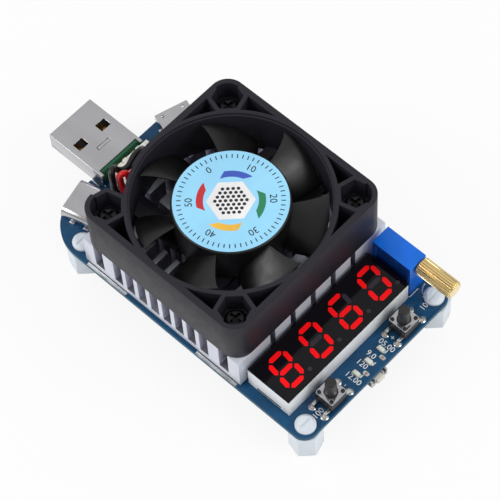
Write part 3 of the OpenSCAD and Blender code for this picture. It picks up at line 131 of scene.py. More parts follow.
class LoadStage(bpy.types.PropertyGroup):
    """Camera and light of the studio"""

    target: FloatVectorProperty(
        name="Target", description="Point in the middle of the picture",
        subtype="XYZ", unit="LENGTH", default=(2.45 * MM, 4.10 * MM, 7.60 * MM))
    azimuth: AngleProperty(
        name="Azimuth", description="Camera's turn round the object, 0 in front", default=math.radians(-42.737))
    elevation: AngleProperty(
        name="Elevation", description="Camera's height above the horizon", default=math.radians(59.825))
    roll: AngleProperty(
        name="Roll", description="Camera's turn about its own line of sight", default=math.radians(-4.785))
    distance: LengthProperty(name="Distance", description="Camera to target", default=446.71 * MM)
    lens: FloatProperty(
        name="Lens", description="Focal length on a 36 mm sensor", unit="CAMERA", default=157.82)
    key_power: LevelProperty(
        name="Key light", description="Power of the large soft light", unit="POWER", default=1.3)
    fill_power: LevelProperty(
        name="Fill light", description="Power of the light opposite the key", unit="POWER", default=1.2)
    key_side: SideProperty(
        name="Key side", description="Direction from the object to the key light", default=(-0.6, 0.52, 0.61))
    fill_side: SideProperty(
        name="Fill side", description="Direction from the object to the fill light", default=(0.34, -0.68, 0.65))
    lamp_distance: LengthProperty(
        name="Lamp distance", description="Object to either lamp", default=0.65, min=0.2)
    lamp_size: LengthProperty(
        name="Lamp size", description="Diameter of either lamp", default=0.36, min=0.01)
    sky: LevelProperty(name="Sky", description="Level of the even light on matt faces", default=0.68)
    panel: LevelProperty(
        name="Panel", description="Level of the soft panel overhead that level faces mirror", default=0.75)
    panel_side: SideProperty(
        name="Panel side", description="Direction from the object to the panel", default=(0.341, 0.369, 0.8645))
    surroundings: LevelProperty(
        name="Surroundings", description="Level that mirrors show beside the panel", default=0.42)


def colours():
    return bpy.context.scene.load_colours


def sizes():
    return bpy.context.scene.load_sizes


# Node trees

def fill(tree, node, inputs):
    """Joins each input of a node to the socket, or gives it the value, that stands beside its label."""
    for label, value in inputs.items():
        if isinstance(value, bpy.types.NodeSocket):
            tree.links.new(value, node.inputs[label])
        else:
            node.inputs[label].default_value = value
    return node


def add(tree, kind, inputs=None, **settings):
    """Node in a tree, with its own settings and its inputs."""
    node = tree.nodes.new(kind)
    for name, value in settings.items():
        setattr(node, name, value)
    return fill(tree, node, inputs or {})


def new_tree(name, kind, inputs, outputs):
    """Empty node group with its sockets; gives the tree, the outputs of its start and its end."""
    tree = bpy.data.node_groups.new(name, kind)
    for side, sockets in (("INPUT", inputs), ("OUTPUT", outputs)):
        for label, value in sockets.items():
            tree.interface.new_socket(label, in_out=side, socket_type=f"NodeSocket{value}")
    return tree, add(tree, "NodeGroupInput").outputs, add(tree, "NodeGroupOutput")


@functools.cache
def grain_group():
    """Fine surface grain: a roughness between two limits and a height for bump."""
    tree, start, end = new_tree(
        "Fine grain", "ShaderNodeTree",
        {"Vector": "Vector", "Scale": "Float", "Smoothest": "Float", "Roughest": "Float"},
        {"Roughness": "Float", "Height": "Float"})
    place, scale = start["Vector"], start["Scale"]
    fine = add(tree, "ShaderNodeTexNoise", {"Vector": place, "Scale": scale, "Detail": 3})
    coarser = add(tree, "ShaderNodeMath", {0: scale, 1: 0.11}, operation="MULTIPLY")
    broad = add(tree, "ShaderNodeTexNoise", {"Vector": place, "Scale": coarser.outputs[0]})
    spread = add(tree, "ShaderNodeMapRange", {
        "Value": broad.outputs["Fac"], "From Min": 0.3, "From Max": 0.7,
        "To Min": start["Smoothest"], "To Max": start["Roughest"]})
    fill(tree, end, {"Roughness": spread.outputs["Result"], "Height": fine.outputs["Fac"]})
    return tree


@functools.cache
def mottle_group():
    """Slow drift between two close colours."""
    tree, start, end = new_tree(
        "Colour drift", "ShaderNodeTree",
        {"Vector": "Vector", "Scale": "Float", "Main colour": "Color", "Drift colour": "Color"},
        {"Color": "Color"})
    noise = add(tree, "ShaderNodeTexNoise", {"Vector": start["Vector"], "Scale": start["Scale"], "Detail": 5})
    spread = add(tree, "ShaderNodeMapRange", {"Value": noise.outputs["Fac"], "From Min": 0.35, "From Max": 0.65})
    mix = mixed(tree, spread.outputs["Result"], start["Main colour"], start["Drift colour"])
    fill(tree, end, {"Color": mix})
    return tree


@functools.cache
def trace_group():
    """Mask of copper tracks that show faintly through solder mask."""
    tree, start, end = new_tree(
        "Copper tracks", "ShaderNodeTree",
        {"Vector": "Vector", "Scale": "Float", "Width": "Float"}, {"Mask": "Float"})
    near, second = (
        add(tree, "ShaderNodeTexVoronoi", {"Vector": start["Vector"], "Scale": start["Scale"]},
            feature=feature, distance="CHEBYCHEV", voronoi_dimensions="2D").outputs["Distance"]
        for feature in ("F1", "F2")
    )
    gap = add(tree, "ShaderNodeMath", {0: second, 1: near}, operation="SUBTRACT")
    below = add(tree, "ShaderNodeMath", {0: gap.outputs[0], 1: start["Width"]}, operation="LESS_THAN")
    fill(tree, end, {"Mask": below.outputs[0]})
    return tree


def mixed(tree, share, first, second):
    """Mix of two colours."""
    return add(tree, "ShaderNodeMix", {0: share, 6: first, 7: second}, data_type="RGBA").outputs[2]


def geometry_tree(name, inputs):
    """Geometry tree that takes a mesh, its own inputs and a material."""
    return new_tree(name, "GeometryNodeTree", {"Geometry": "Geometry", **inputs, "Material": "Material"},
                    {"Geometry": "Geometry"})


def close_tree(tree, start, end, result):
    """Realize Instances and Set Material at the end of a tree."""
    realize = add(tree, "GeometryNodeRealizeInstances", {"Geometry": result})
    coat = add(tree, "GeometryNodeSetMaterial", {"Geometry": realize.outputs[0], "Material": start["Material"]})
    fill(tree, end, {"Geometry": coat.outputs[0]})
    return tree


@functools.cache
def ring_tree():
    """Copies of a mesh turned about an upright axis."""
    tree, start, end = geometry_tree("Copies round an axis", {"Count": "Int", "Axis point": "Vector"})
    axis, count = start["Axis point"], start["Count"]
    points = add(tree, "GeometryNodePoints", {"Count": count, "Position": axis})
    away = add(tree, "ShaderNodeVectorMath", {0: axis, "Scale": -1}, operation="SCALE")
    shifted = add(tree, "GeometryNodeTransform", {"Geometry": start["Geometry"], "Translation": away.outputs[0]})
    index = add(tree, "GeometryNodeInputIndex")
    share = add(tree, "ShaderNodeMath", {0: index.outputs[0], 1: count}, operation="DIVIDE")
    turn = add(tree, "ShaderNodeMath", {0: share.outputs[0], 1: 2 * math.pi}, operation="MULTIPLY")
    euler = add(tree, "ShaderNodeCombineXYZ", {"Z": turn.outputs[0]})
    rotation = add(tree, "FunctionNodeEulerToRotation", {0: euler.outputs[0]})
    copies = add(tree, "GeometryNodeInstanceOnPoints", {
        "Points": points.outputs[0], "Instance": shifted.outputs[0], "Rotation": rotation.outputs[0]})
    return close_tree(tree, start, end, copies.outputs[0])


@functools.cache
def points_tree():
    """Copies of another object's mesh on the vertices of this one."""
    tree, start, end = geometry_tree("Copies on points", {"Pattern": "Object"})
    pattern = add(tree, "GeometryNodeObjectInfo", {"Object": start["Pattern"]})
    points = add(tree, "GeometryNodeMeshToPoints", {0: start["Geometry"]})
    copies = add(tree, "GeometryNodeInstanceOnPoints", {
        "Points": points.outputs[0], "Instance": pattern.outputs["Geometry"]})
    return close_tree(tree, start, end, copies.outputs[0])


@functools.cache
def wire_tree():
    """Round wire along a line of points."""
    tree, start, end = geometry_tree("Wire along a route", {"Radius": "Float", "Steps": "Int"})
    route = add(tree, "GeometryNodeMeshToCurve", {0: start["Geometry"]})
    curve = add(tree, "GeometryNodeCurveSplineType", {"Curve": route.outputs[0]}, spline_type="CATMULL_ROM")
    fine = add(tree, "GeometryNodeResampleCurve", {"Curve": curve.outputs[0], "Count": start["Steps"]})
    section = add(tree, "GeometryNodeCurvePrimitiveCircle", {"Resolution": 16, "Radius": start["Radius"]})
    tube = add(tree, "GeometryNodeCurveToMesh", {
        "Curve": fine.outputs[0], "Profile Curve": section.outputs[0], "Fill Caps": True})
    smooth = add(tree, "GeometryNodeSetShadeSmooth", {"Geometry": tube.outputs[0]})
    return close_tree(tree, start, end, smooth.outputs[0])


# Materials

def to_linear(colour):
    """Screen colour to the linear values that a shader takes."""
    return tuple(c / 12.92 if c <= 0.04045 else ((c + 0.055) / 1.055) ** 2.4 for c in colour) + (1.0,)


def tinted(colour, factor):
    """Screen colour made lighter or darker."""
    return tuple(min(1.0, c * factor) for c in colour)


def finish(name, colour, drift=1.15, metallic=0.0, rough=(0.35, 0.5), grain=2500.0, bump=0.15, depth=0.02,
           drift_scale=180.0, stretch=(1, 1, 1), coat=0.0, subsurface=0.0, glow=0.0, shine=0.5):
    """Material whose colour drifts slowly and whose grain drives roughness and bump."""
    if name in bpy.data.materials:
        return bpy.data.materials[name]
    material = bpy.data.materials.new(name)
    material.use_nodes = True
    tree = material.node_tree
    place = add(tree, "ShaderNodeTexCoord")
    mapping = add(tree, "ShaderNodeMapping", {"Vector": place.outputs["Object"], "Scale": stretch})
    vector = mapping.outputs["Vector"]
    drifting = add(tree, "ShaderNodeGroup", node_tree=mottle_group(), inputs={
        "Vector": vector, "Scale": drift_scale,
        "Main colour": to_linear(colour), "Drift colour": to_linear(tinted(colour, drift))})
    grainy = add(tree, "ShaderNodeGroup", node_tree=grain_group(), inputs={
        "Vector": vector, "Scale": grain, "Smoothest": rough[0], "Roughest": rough[1]})
    bumps = add(tree, "ShaderNodeBump", {
        "Height": grainy.outputs["Height"], "Strength": bump, "Distance": depth * MM})
    inputs = {
        "Base Color": drifting.outputs["Color"], "Roughness": grainy.outputs["Roughness"],
        "Normal": bumps.outputs["Normal"], "Metallic": metallic, "Specular IOR Level": shine,
        "Coat Weight": coat, "Coat Roughness": 0.05,
    }
    if subsurface:
        inputs |= {"Subsurface Weight": subsurface, "Subsurface Radius": (MM, MM, MM), "Subsurface Scale": 0.6}
    if glow:
        inputs |= {"Emission Color": drifting.outputs["Color"], "Emission Strength": glow}
    fill(tree, tree.nodes["Principled BSDF"], inputs)
    return material


def board_mask():
    """Blue solder mask over faint copper tracks."""
    blue = colours().board
    lighter = 1.12
    material = finish("Blue solder mask", blue, lighter, rough=(0.22, 0.34), grain=900, bump=0.06, shine=0.3)
    tree = material.node_tree
    shader = tree.nodes["Principled BSDF"]
    plain = shader.inputs["Base Color"].links[0].from_socket
    mapping = next(n for n in tree.nodes if n.type == "MAPPING")
    tracks = add(tree, "ShaderNodeGroup", node_tree=trace_group(), inputs={
        "Vector": mapping.outputs["Vector"], "Scale": 330.0, "Width": 0.06})
    mix = mixed(tree, tracks.outputs["Mask"], plain, to_linear(tinted(blue, lighter)))
    fill(tree, shader, {"Base Color": mix})
    return material


def rotor_plastic():
    return finish("Rotor plastic", colours().rotor, rough=(0.32, 0.44), grain=4200, bump=0.2)


def plated_steel():
    return finish("Plated steel", colours().steel, 0.94, 1.0, rough=(0.16, 0.3), grain=1200, bump=0.06,
                  stretch=(1, 0.15, 1))


def tin():
    return finish("Bright tin", (0.84, 0.84, 0.83), 0.88, 1.0, rough=(0.16, 0.34), grain=3200, bump=0.25,
                  depth=0.03)


def nylon():
    return finish("White nylon", colours().nylon, 0.97, rough=(0.32, 0.45), grain=1500, bump=0.1,
                  subsurface=0.25)


def switch_plastic():
    return finish("Switch plastic", (0.12, 0.12, 0.13), 1.2, grain=3600)


def white_connector():
    return finish("White connector plastic", (0.93, 0.93, 0.9), 0.97, rough=(0.35, 0.48), grain=2600,
                  subsurface=0.15)


def printed_ink(name, colour):
    return finish(name, colour, 0.95, rough=(0.38, 0.5), grain=4000, bump=0.05)


# Meshes

def raw_object(name, data):
    """Object in the scene, at the origin."""
    piece = bpy.data.objects.new(name, data)
    bpy.context.scene.collection.objects.link(piece)
    return piece


def place_piece(piece, body, slot, *nodes):
    """Rides a finished piece on its body and hides the CAD nodes that it stands for; the slot is not used."""
    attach(piece, body)
    if nodes:
        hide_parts(*nodes)
    return piece


def smooth_by_angle(mesh, degrees):
    mesh.polygons.foreach_set("use_smooth", [True] * len(mesh.polygons))
    mesh.set_sharp_from_angle(angle=math.radians(degrees))


def new_object(name, bm, material, degrees=SHARP_ANGLE):
    """Object of a bmesh, smooth up to an angle, with one material."""
    mesh = bpy.data.meshes.new(name)
    bm.to_mesh(mesh)
    bm.free()
    mesh.materials.append(material)
    smooth_by_angle(mesh, degrees)
    return raw_object(name, mesh)


def new_piece(name, bm, material, body, slot, *nodes):
    """Finished piece of a bmesh."""
    return place_piece(new_object(name, bm, material), body, slot, *nodes)


def merged_copy(node):
    """A CAD node's triangles as one joined surface with flat faces made whole."""
    bm = bmesh.new()
    bm.from_mesh(NODES[node].data)
    bmesh.ops.remove_doubles(bm, verts=bm.verts[:], dist=2e-7)
    bmesh.ops.dissolve_limit(bm, angle_limit=math.radians(0.4), verts=bm.verts[:], edges=bm.edges[:])
    return bm


def slot_of(node):
    """The record's material slot of a CAD node."""
    return next(s["material_slot"] for s in frame["record"]["subparts"] if s["node"] == node)


def soften(node, material, radius, body="load", steps=2):
    """Stands for a CAD node with the same shape whose sharp edges are rounded."""
    bm = merged_copy(node)
    limit = math.radians(SHARP_ANGLE)
    sharp = [e for e in bm.edges if e.is_manifold and e.calc_face_angle(0) > limit]
    bmesh.ops.bevel(bm, geom=sharp, offset=radius, offset_type="OFFSET", segments=steps,
                    profile=0.5, affect="EDGES", clamp_overlap=True)
    return new_piece(f"{node}_rounded", bm, material, body, slot_of(node), node)


def paint(material, *nodes):
    """Gives CAD nodes that keep their own shape a finished material."""
    for node in nodes:
        mesh = NODES[node].data
        mesh.materials.clear()
        mesh.materials.append(material)


def recoat(piece, material, chosen):
    """Gives the faces that pass a test a second material."""
    piece.data.materials.append(material)
    for face in piece.data.polygons:
        if chosen(face):
            face.material_index = 1


def solids(node):
    """Boxes of the separate solids of a CAD node, as pairs of corners."""
    bm = merged_copy(node)
    left, boxes = set(bm.verts), []
    while left:
        group, front = [], [left.pop()]
        while front:
            vert = front.pop()
            group.append(vert.co.copy())
            for edge in vert.link_edges:
                other = edge.other_vert(vert)
                if other in left:
                    left.remove(other)
                    front.append(other)
        boxes.append((Vector(map(min, *group)), Vector(map(max, *group))))
    bm.free()
    return sorted(boxes, key=lambda box: tuple(round(c, 6) for c in box[0]))


def outward(bm):
    """Turns all faces outwards."""
    bmesh.ops.recalc_face_normals(bm, faces=bm.faces[:])
    return bm


def revolved(profile, steps):
    """Closed surface of revolution about Z from (radius, height) points, from the rim up to the axis."""
    bm = bmesh.new()
    rings = [
        [bm.verts.new((radius * math.cos(a), radius * math.sin(a), height))
         for a in (2 * math.pi * k / steps for k in range(steps if radius else 1))]
        for radius, height in profile
    ]
    for low, high in zip(rings, rings[1:]):
        for k in range(steps):
            n = (k + 1) % steps
            corners = [low[k], low[n], high[n % len(high)], high[k % len(high)]]
            bm.faces.new(list(dict.fromkeys(corners)))
    bm.faces.new(rings[0][::-1])
    return outward(bm)


def prism(outline, low, high):
    """Upright prism over a closed outline of (x, y) points."""
    bm = bmesh.new()
    floor = [bm.verts.new((x, y, low)) for x, y in outline]
    roof = [bm.verts.new((x, y, high)) for x, y in outline]
    bm.faces.new(floor[::-1])
    bm.faces.new(roof)
    for k in range(len(outline)):
        n = (k + 1) % len(outline)
        bm.faces.new((floor[k], floor[n], roof[n], roof[k]))
    return outward(bm)


def joined(parts):
    """One bmesh of several."""
    whole = bmesh.new()
    for part in parts:
        scratch = bpy.data.meshes.new("scratch")
        part.to_mesh(scratch)
        part.free()
        whole.from_mesh(scratch)
        bpy.data.meshes.remove(scratch)
    return whole


def lettering(text, size, at, turn):
    """Printed figures as a thin solid, centred on a point of the surface."""
    curve = bpy.data.curves.new("figures", "FONT")
    curve.body = text
    curve.size = size
    curve.align_x, curve.align_y = "CENTER", "CENTER"
    curve.resolution_u = 3
    curve.extrude = sizes().print_height / 2
    holder = raw_object("figures", curve)
    bpy.context.view_layer.update()
    mesh = bpy.data.meshes.new_from_object(holder.evaluated_get(bpy.context.evaluated_depsgraph_get()))
    mesh.transform(Matrix.Translation(at) @ Matrix.Rotation(turn, 4, "Z"))
    bm = bmesh.new()
    bm.from_mesh(mesh)
    bpy.data.objects.remove(holder)
    bpy.data.curves.remove(curve)
    bpy.data.meshes.remove(mesh)
    return bm


def arc_points(radius, start, end, steps, middle=(0, 0)):
    """Points of an arc between two angles in degrees."""
    angles = (math.radians(start + (end - start) * k / steps) for k in range(steps + 1))
    return [(middle[0] + radius * math.cos(a), middle[1] + radius * math.sin(a)) for a in angles]


def rounded_outline(width, depth, radius):
    """Outline of a rectangle with round corners about the origin."""
    corners = ((1, 1, 0), (-1, 1, 90), (-1, -1, 180), (1, -1, 270))
    return [
        point for x, y, start in corners
        for point in arc_points(radius, start, start + 90, 4,
                                (x * (width / 2 - radius), y * (depth / 2 - radius)))
    ]


def bar(a, b, width, low, high):
    """Straight printed line between two points of a level surface."""
    a, b = Vector(a), Vector(b)
    along = (b - a).normalized()
    side = Vector((-along.y, along.x)) * width / 2
    end = along * width / 2
    corners = [a - end - side, b + end - side, b + end + side, a - end + side]
    return prism([(p.x, p.y) for p in corners], low, high)


def grow(piece, tree, **values):
    """Runs a tree on a piece with these inputs and keeps the result as a plain mesh."""
    modifier = piece.modifiers.new("grow", "NODES")
    modifier.node_group = tree
    for item in tree.interface.items_tree:
        label = item.name.replace(" ", "_")
        if item.item_type == "SOCKET" and item.in_out == "INPUT" and label in values:
            modifier[item.identifier] = values[label]
    bpy.context.view_layer.update()
    evaluated = piece.evaluated_get(bpy.context.evaluated_depsgraph_get())
    mesh = bpy.data.meshes.new_from_object(evaluated)
    piece.modifiers.remove(modifier)
    piece.data = mesh
    return piece


def copies_at(name, pattern, points, material, body, slot):
    """One piece made of copies of a small pattern at points."""
    source = new_object(f"{name}_pattern", pattern, material)
    mesh = bpy.data.meshes.new(name)
    mesh.from_pydata(points, [], [])
    piece = grow(raw_object(name, mesh), points_tree(), Pattern=source, Material=material)
    smooth_by_angle(piece.data, 40)
    bpy.data.objects.remove(source)
    return place_piece(piece, body, slot)


# Pieces

class LOAD_OT_stage(bpy.types.Operator):
    """Sets up the floor, the soft light and the camera"""

    bl_idname = "load.stage"
    bl_label = "Stage"

    panel_fade = 0.64, 0.94
    floor_reach = 1.5
    floor_level, floor_roughness = 0.9, 0.9
    floor_whiteness = 0.86

    def execute(self, context):
        stage = context.scene.load_stage
        context.scene.view_settings.view_transform = "Standard"
        self.make_sky(context, stage)
        self.make_floor()
        self.make_lamp("key_light", stage, stage.key_side, stage.key_power)
        self.make_lamp("fill_light", stage, stage.fill_side, stage.fill_power)
        self.make_camera(context, stage)
        return {"FINISHED"}

    def seen_directly(self, tree, mirrored):
        """1 for rays from the camera and for refracted ones, and for reflected ones if mirrored."""
        path = add(tree, "ShaderNodeLightPath").outputs
        first = add(tree, "ShaderNodeMath", operation="MAXIMUM", inputs={
            0: path["Is Camera Ray"], 1: path["Is Transmission Ray"]})
        glossy = path["Is Glossy Ray"] if mirrored else 0
        return add(tree, "ShaderNodeMath", {0: first.outputs[0], 1: glossy}, operation="MAXIMUM").outputs[0]

    def make_sky(self, context, stage):
        """White to the camera, even light on matt faces, and a soft panel overhead in mirrors."""
        world = bpy.data.worlds.new("Studio")
        context.scene.world = world
        world.use_nodes = True
        tree = world.node_tree
        place = add(tree, "ShaderNodeTexCoord")
        toward = add(tree, "ShaderNodeVectorMath", operation="DOT_PRODUCT", inputs={
            0: place.outputs["Generated"], 1: Vector(stage.panel_side).normalized()})
        fade = add(tree, "ShaderNodeMapRange", interpolation_type="SMOOTHSTEP", inputs={
            "Value": toward.outputs["Value"], "From Min": self.panel_fade[0], "From Max": self.panel_fade[1],
            "To Min": stage.surroundings, "To Max": stage.panel})
        full = {"Color": (1, 1, 1, 1)}
        even = fill(tree, tree.nodes["Background"], {**full, "Strength": stage.sky})
        panel = add(tree, "ShaderNodeBackground", {**full, "Strength": fade.outputs["Result"]})
        white = add(tree, "ShaderNodeBackground", full)
        path = add(tree, "ShaderNodeLightPath")
        inner = add(tree, "ShaderNodeMixShader", {
            0: path.outputs["Is Glossy Ray"], 1: even.outputs[0], 2: panel.outputs[0]})
        outer = add(tree, "ShaderNodeMixShader", {
            0: self.seen_directly(tree, mirrored=False), 1: inner.outputs[0], 2: white.outputs[0]})
        fill(tree, tree.nodes["World Output"], {"Surface": outer.outputs[0]})

    def make_floor(self):
        """Pale floor, nearly white to the camera and in mirrors, that keeps the shadow."""
        half = self.floor_reach
        corners = [(-half, -half, 0), (half, -half, 0), (half, half, 0), (-half, half, 0)]
        mesh = bpy.data.meshes.new("floor")
        mesh.from_pydata(corners, [], [(0, 1, 2, 3)])
        floor = raw_object("floor", mesh)
        material = bpy.data.materials.new("Pale floor")
        material.use_nodes = True
        tree = material.node_tree
        shader = fill(tree, tree.nodes["Principled BSDF"], {
            "Base Color": (*[self.floor_level] * 3, 1), "Roughness": self.floor_roughness})
        white = add(tree, "ShaderNodeEmission")
        share = add(tree, "ShaderNodeMath", operation="MULTIPLY", inputs={
            0: self.seen_directly(tree, mirrored=True), 1: self.floor_whiteness})
        mix = add(tree, "ShaderNodeMixShader", {0: share.outputs[0], 1: shader.outputs[0], 2: white.outputs[0]})
        fill(tree, tree.nodes["Material Output"], {"Surface": mix.outputs[0]})
        mesh.materials.append(material)

    def make_lamp(self, name, stage, side, power):
        place = Vector(side) * stage.lamp_distance
        data = bpy.data.lights.new(name, "AREA")
        data.shape = "DISK"
        data.size = stage.lamp_size
        data.energy = power
        lamp = raw_object(name, data)
        lamp.location = place
        lamp.rotation_euler = (-place).to_track_quat("-Z", "Y").to_euler()

    def make_camera(self, context, stage):
        a, e, r = stage.azimuth, stage.elevation, stage.roll
        back = Vector((math.sin(a) * math.cos(e), -math.cos(a) * math.cos(e), math.sin(e)))
        right = Vector((math.cos(a), math.sin(a), 0))
        up = back.cross(right)
        rolled_right = math.cos(r) * right + math.sin(r) * up
        rolled_up = math.cos(r) * up - math.sin(r) * right
        data = bpy.data.cameras.new("camera")
        data.sensor_width = 36
        data.lens = stage.lens
        data.clip_start, data.clip_end = 0.01, 10
        camera = raw_object("camera", data)
        turn = Matrix((rolled_right, rolled_up, back)).transposed().to_4x4()
        camera.matrix_world = Matrix.Translation(Vector(stage.target) + back * stage.distance) @ turn
        context.scene.camera = camera


class LOAD_OT_board(bpy.types.Operator):
    """Makes the blue board with its solder, tinned pads and white print"""

    bl_idname = "load.board"
    bl_label = "Board"

    pad_places = (-2.28, -1.31), (2.51, -1.36)
    line_width = 0.17 * MM
    figure_size = 1.75 * MM
    figures_across = ("05.00", 5.1, -0.2), ("9.0", 1.5, 0.75), ("120", -1.25, 0.7), ("12.00", -4.8, -0.1)
    figures_along = ("+", 7.2, 0), ("-", -6.95, 0.2), ("100", -15, -0.15), ("10", 16.65, 0.05)

    def execute(self, context):
        board = soften("circuit_board", board_mask(), sizes().cut_edge)
        laminate = finish("Cut laminate", (0.16, 0.36, 0.46), 0.85, rough=(0.5, 0.7), grain=3000, bump=0.3)
        recoat(board, laminate, lambda face: abs(face.normal.z) < 0.5)
        paint(tin(), "edge_strips")
        self.make_solder()
        self.make_pads()
        self.make_print()
        return {"FINISHED"}

    def leg_spots(self):
        """Points of the board's top under the outer ends of the switch legs."""
        reach, inner = 5 * MM, 2 * MM
        spots = []
        for button in ("left_button", "right_button"):
            middle = span(button)[0]
            for low, high in solids("switch_legs"):
                if abs((low.x + high.x) / 2 - middle.x) < reach:
                    outside = high.x if high.x > middle.x + inner else low.x
                    spots.append((outside, (low.y + high.y) / 2, DECK))
        return spots

    def make_solder(self):
        r = sizes().pad_radius
        fillet = revolved([(r, 0), (r * 0.98, 0.05 * MM), (r * 0.72, 0.16 * MM), (r * 0.5, 0.42 * MM),
                           (0, 0.5 * MM)], 24)
        copies_at("switch_solder", fillet, self.leg_spots(), tin(), "load", "tin")

    def make_pads(self):
        """Bare tinned pads between the lamps, each with a drop of flux."""
        lamps, _ = span("lamp_bodies")
        spots = [(lamps.x + x * MM, lamps.y + y * MM, DECK) for x, y in self.pad_places]
        top = 0.06 * MM
        pad = prism(rounded_outline(0.85 * MM, 1.35 * MM, 0.3 * MM), 0, top)
        copies_at("lamp_pads", pad, spots, tin(), "load", "tin")
        flux = finish("Flux on a pad", (0.5, 0.4, 0.36), 1.3, rough=(0.2, 0.35), grain=3000, coat=0.4)
        drop = revolved([(0.3 * MM, top), (0.24 * MM, 0.1 * MM), (0, 0.12 * MM)], 16)
        copies_at("pad_flux", drop, spots, flux, "load", "tin")

    def make_print(self):
        """White numbers, signs and lines."""
        low, high = DECK + 0.002 * MM, DECK + sizes().print_height
        lamps, _ = span("lamp_bodies")
        parts = [
            lettering(text, self.figure_size, (lamps.x + x * MM, lamps.y + y * MM, (low + high) / 2), turn)
            for figures, turn in ((self.figures_across, -math.pi / 2), (self.figures_along, 0))
            for text, x, y in figures
        ]
        lines = []
        for a, b in solids("lamp_bodies"):
            x, y = (a.x + b.x) / 2, lamps.y - 1.1 * MM
            lines.append(((x - 0.05 * MM, y), (x + 0.75 * MM, y)))
        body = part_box("trimmer_body")[0]
        x, y = body.x - 0.3 * MM, body.y - 0.33 * MM
        lines += ((x, y), (x + 2.6 * MM, y)), ((x, y), (x, y + 2 * MM))
        curl = arc_points(2.6 * MM, 95, 175, 10, (body.x + 4.3 * MM, body.y - 3.2 * MM))
        lines += zip(curl, curl[1:])
        x, y = curl[-1]
        lines += (((x, y), (x + across * MM, y + along * MM)) for across, along in ((-0.15, 0.75), (0.75, 0.35)))
        parts += (bar(a, b, self.line_width, low, high) for a, b in lines)
        ink = printed_ink("White board ink", (0.93, 0.94, 0.95))
        new_piece("board_print", joined(parts), ink, "load", "nylon")


class LOAD_OT_feet(bpy.types.Operator):
    """Makes the hexagonal nylon feet and their screws"""

    bl_idname = "load.feet"
    bl_label = "Feet"

    def execute(self, context):
        soften("standoffs", nylon(), sizes().moulded_edge)
        soften("board_screws", nylon(), sizes().moulded_edge)
        return {"FINISHED"}


class LOAD_OT_heat_sink(bpy.types.Operator):
    """Makes the finned heat sink, its pad and its screws"""

    bl_idname = "load.heat_sink"
    bl_label = "Heat sink"

    outer_skin = 0.15 * MM

    def execute(self, context):
        bright = finish("Heat sink aluminium", colours().aluminium, 0.95, 0.35, rough=(0.3, 0.46), grain=1400,
                        bump=0.12, stretch=(1, 1, 0.12))
        # Painted shade: the heat sink's inner faces below its top, in the channels between the fins, take a darker
        # aluminium
        shaded = finish("Painted channel shade aluminium", (0.78, 0.78, 0.83), 0.9, 1.0, grain=1400)
        sink = soften("heat_sink", bright, sizes().cut_edge)
        low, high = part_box("heat_sink")
        skin = self.outer_skin
        recoat(sink, shaded, lambda face: low.x + skin < face.center.x < high.x - skin
               and low.y + skin < face.center.y < high.y - skin and face.center.z < high.z - skin)
        soften("heat_sink_screws", plated_steel(), sizes().fine_edge)
        paint(finish("Grey pad", (0.58, 0.6, 0.64), rough=(0.6, 0.75), grain=1800, bump=0.3), "thermal_pad")
        return {"FINISHED"}


class LOAD_OT_fan_frame(bpy.types.Operator):
    """Makes the fan frame, its screws and the motor inside"""

    bl_idname = "load.fan_frame"
    bl_label = "Fan frame"

    def execute(self, context):
        plastic = finish("Fan frame plastic", colours().fan, 1.06, rough=(0.47, 0.54), grain=5200, bump=0.35,
                         depth=0.03, shine=0.3)
        black = finish("Black screw steel", (0.13, 0.13, 0.14), 1.4, 0.7, rough=(0.28, 0.42), grain=3000, bump=0.2)
        bronze = finish("Oiled bronze", (0.72, 0.55, 0.3), metallic=1.0, rough=(0.3, 0.45))
        mask = finish("Motor board mask", (0.05, 0.08, 0.06), rough=(0.25, 0.4), grain=1200, coat=0.3)
        core = finish("Core steel", (0.55, 0.56, 0.58), metallic=1.0, stretch=(1, 1, 8))
        copper = finish("Copper winding", (0.72, 0.38, 0.2), metallic=0.9, rough=(0.3, 0.45), stretch=(1, 1, 9))
        soften("fan_frame", plastic, sizes().moulded_edge)
        soften("fan_screws", black, sizes().fine_edge)
        paint(bronze, "fan_bearing")
        paint(mask, "motor_board")
        paint(core, "stator_core")
        paint(copper, "stator_coils")
        return {"FINISHED"}


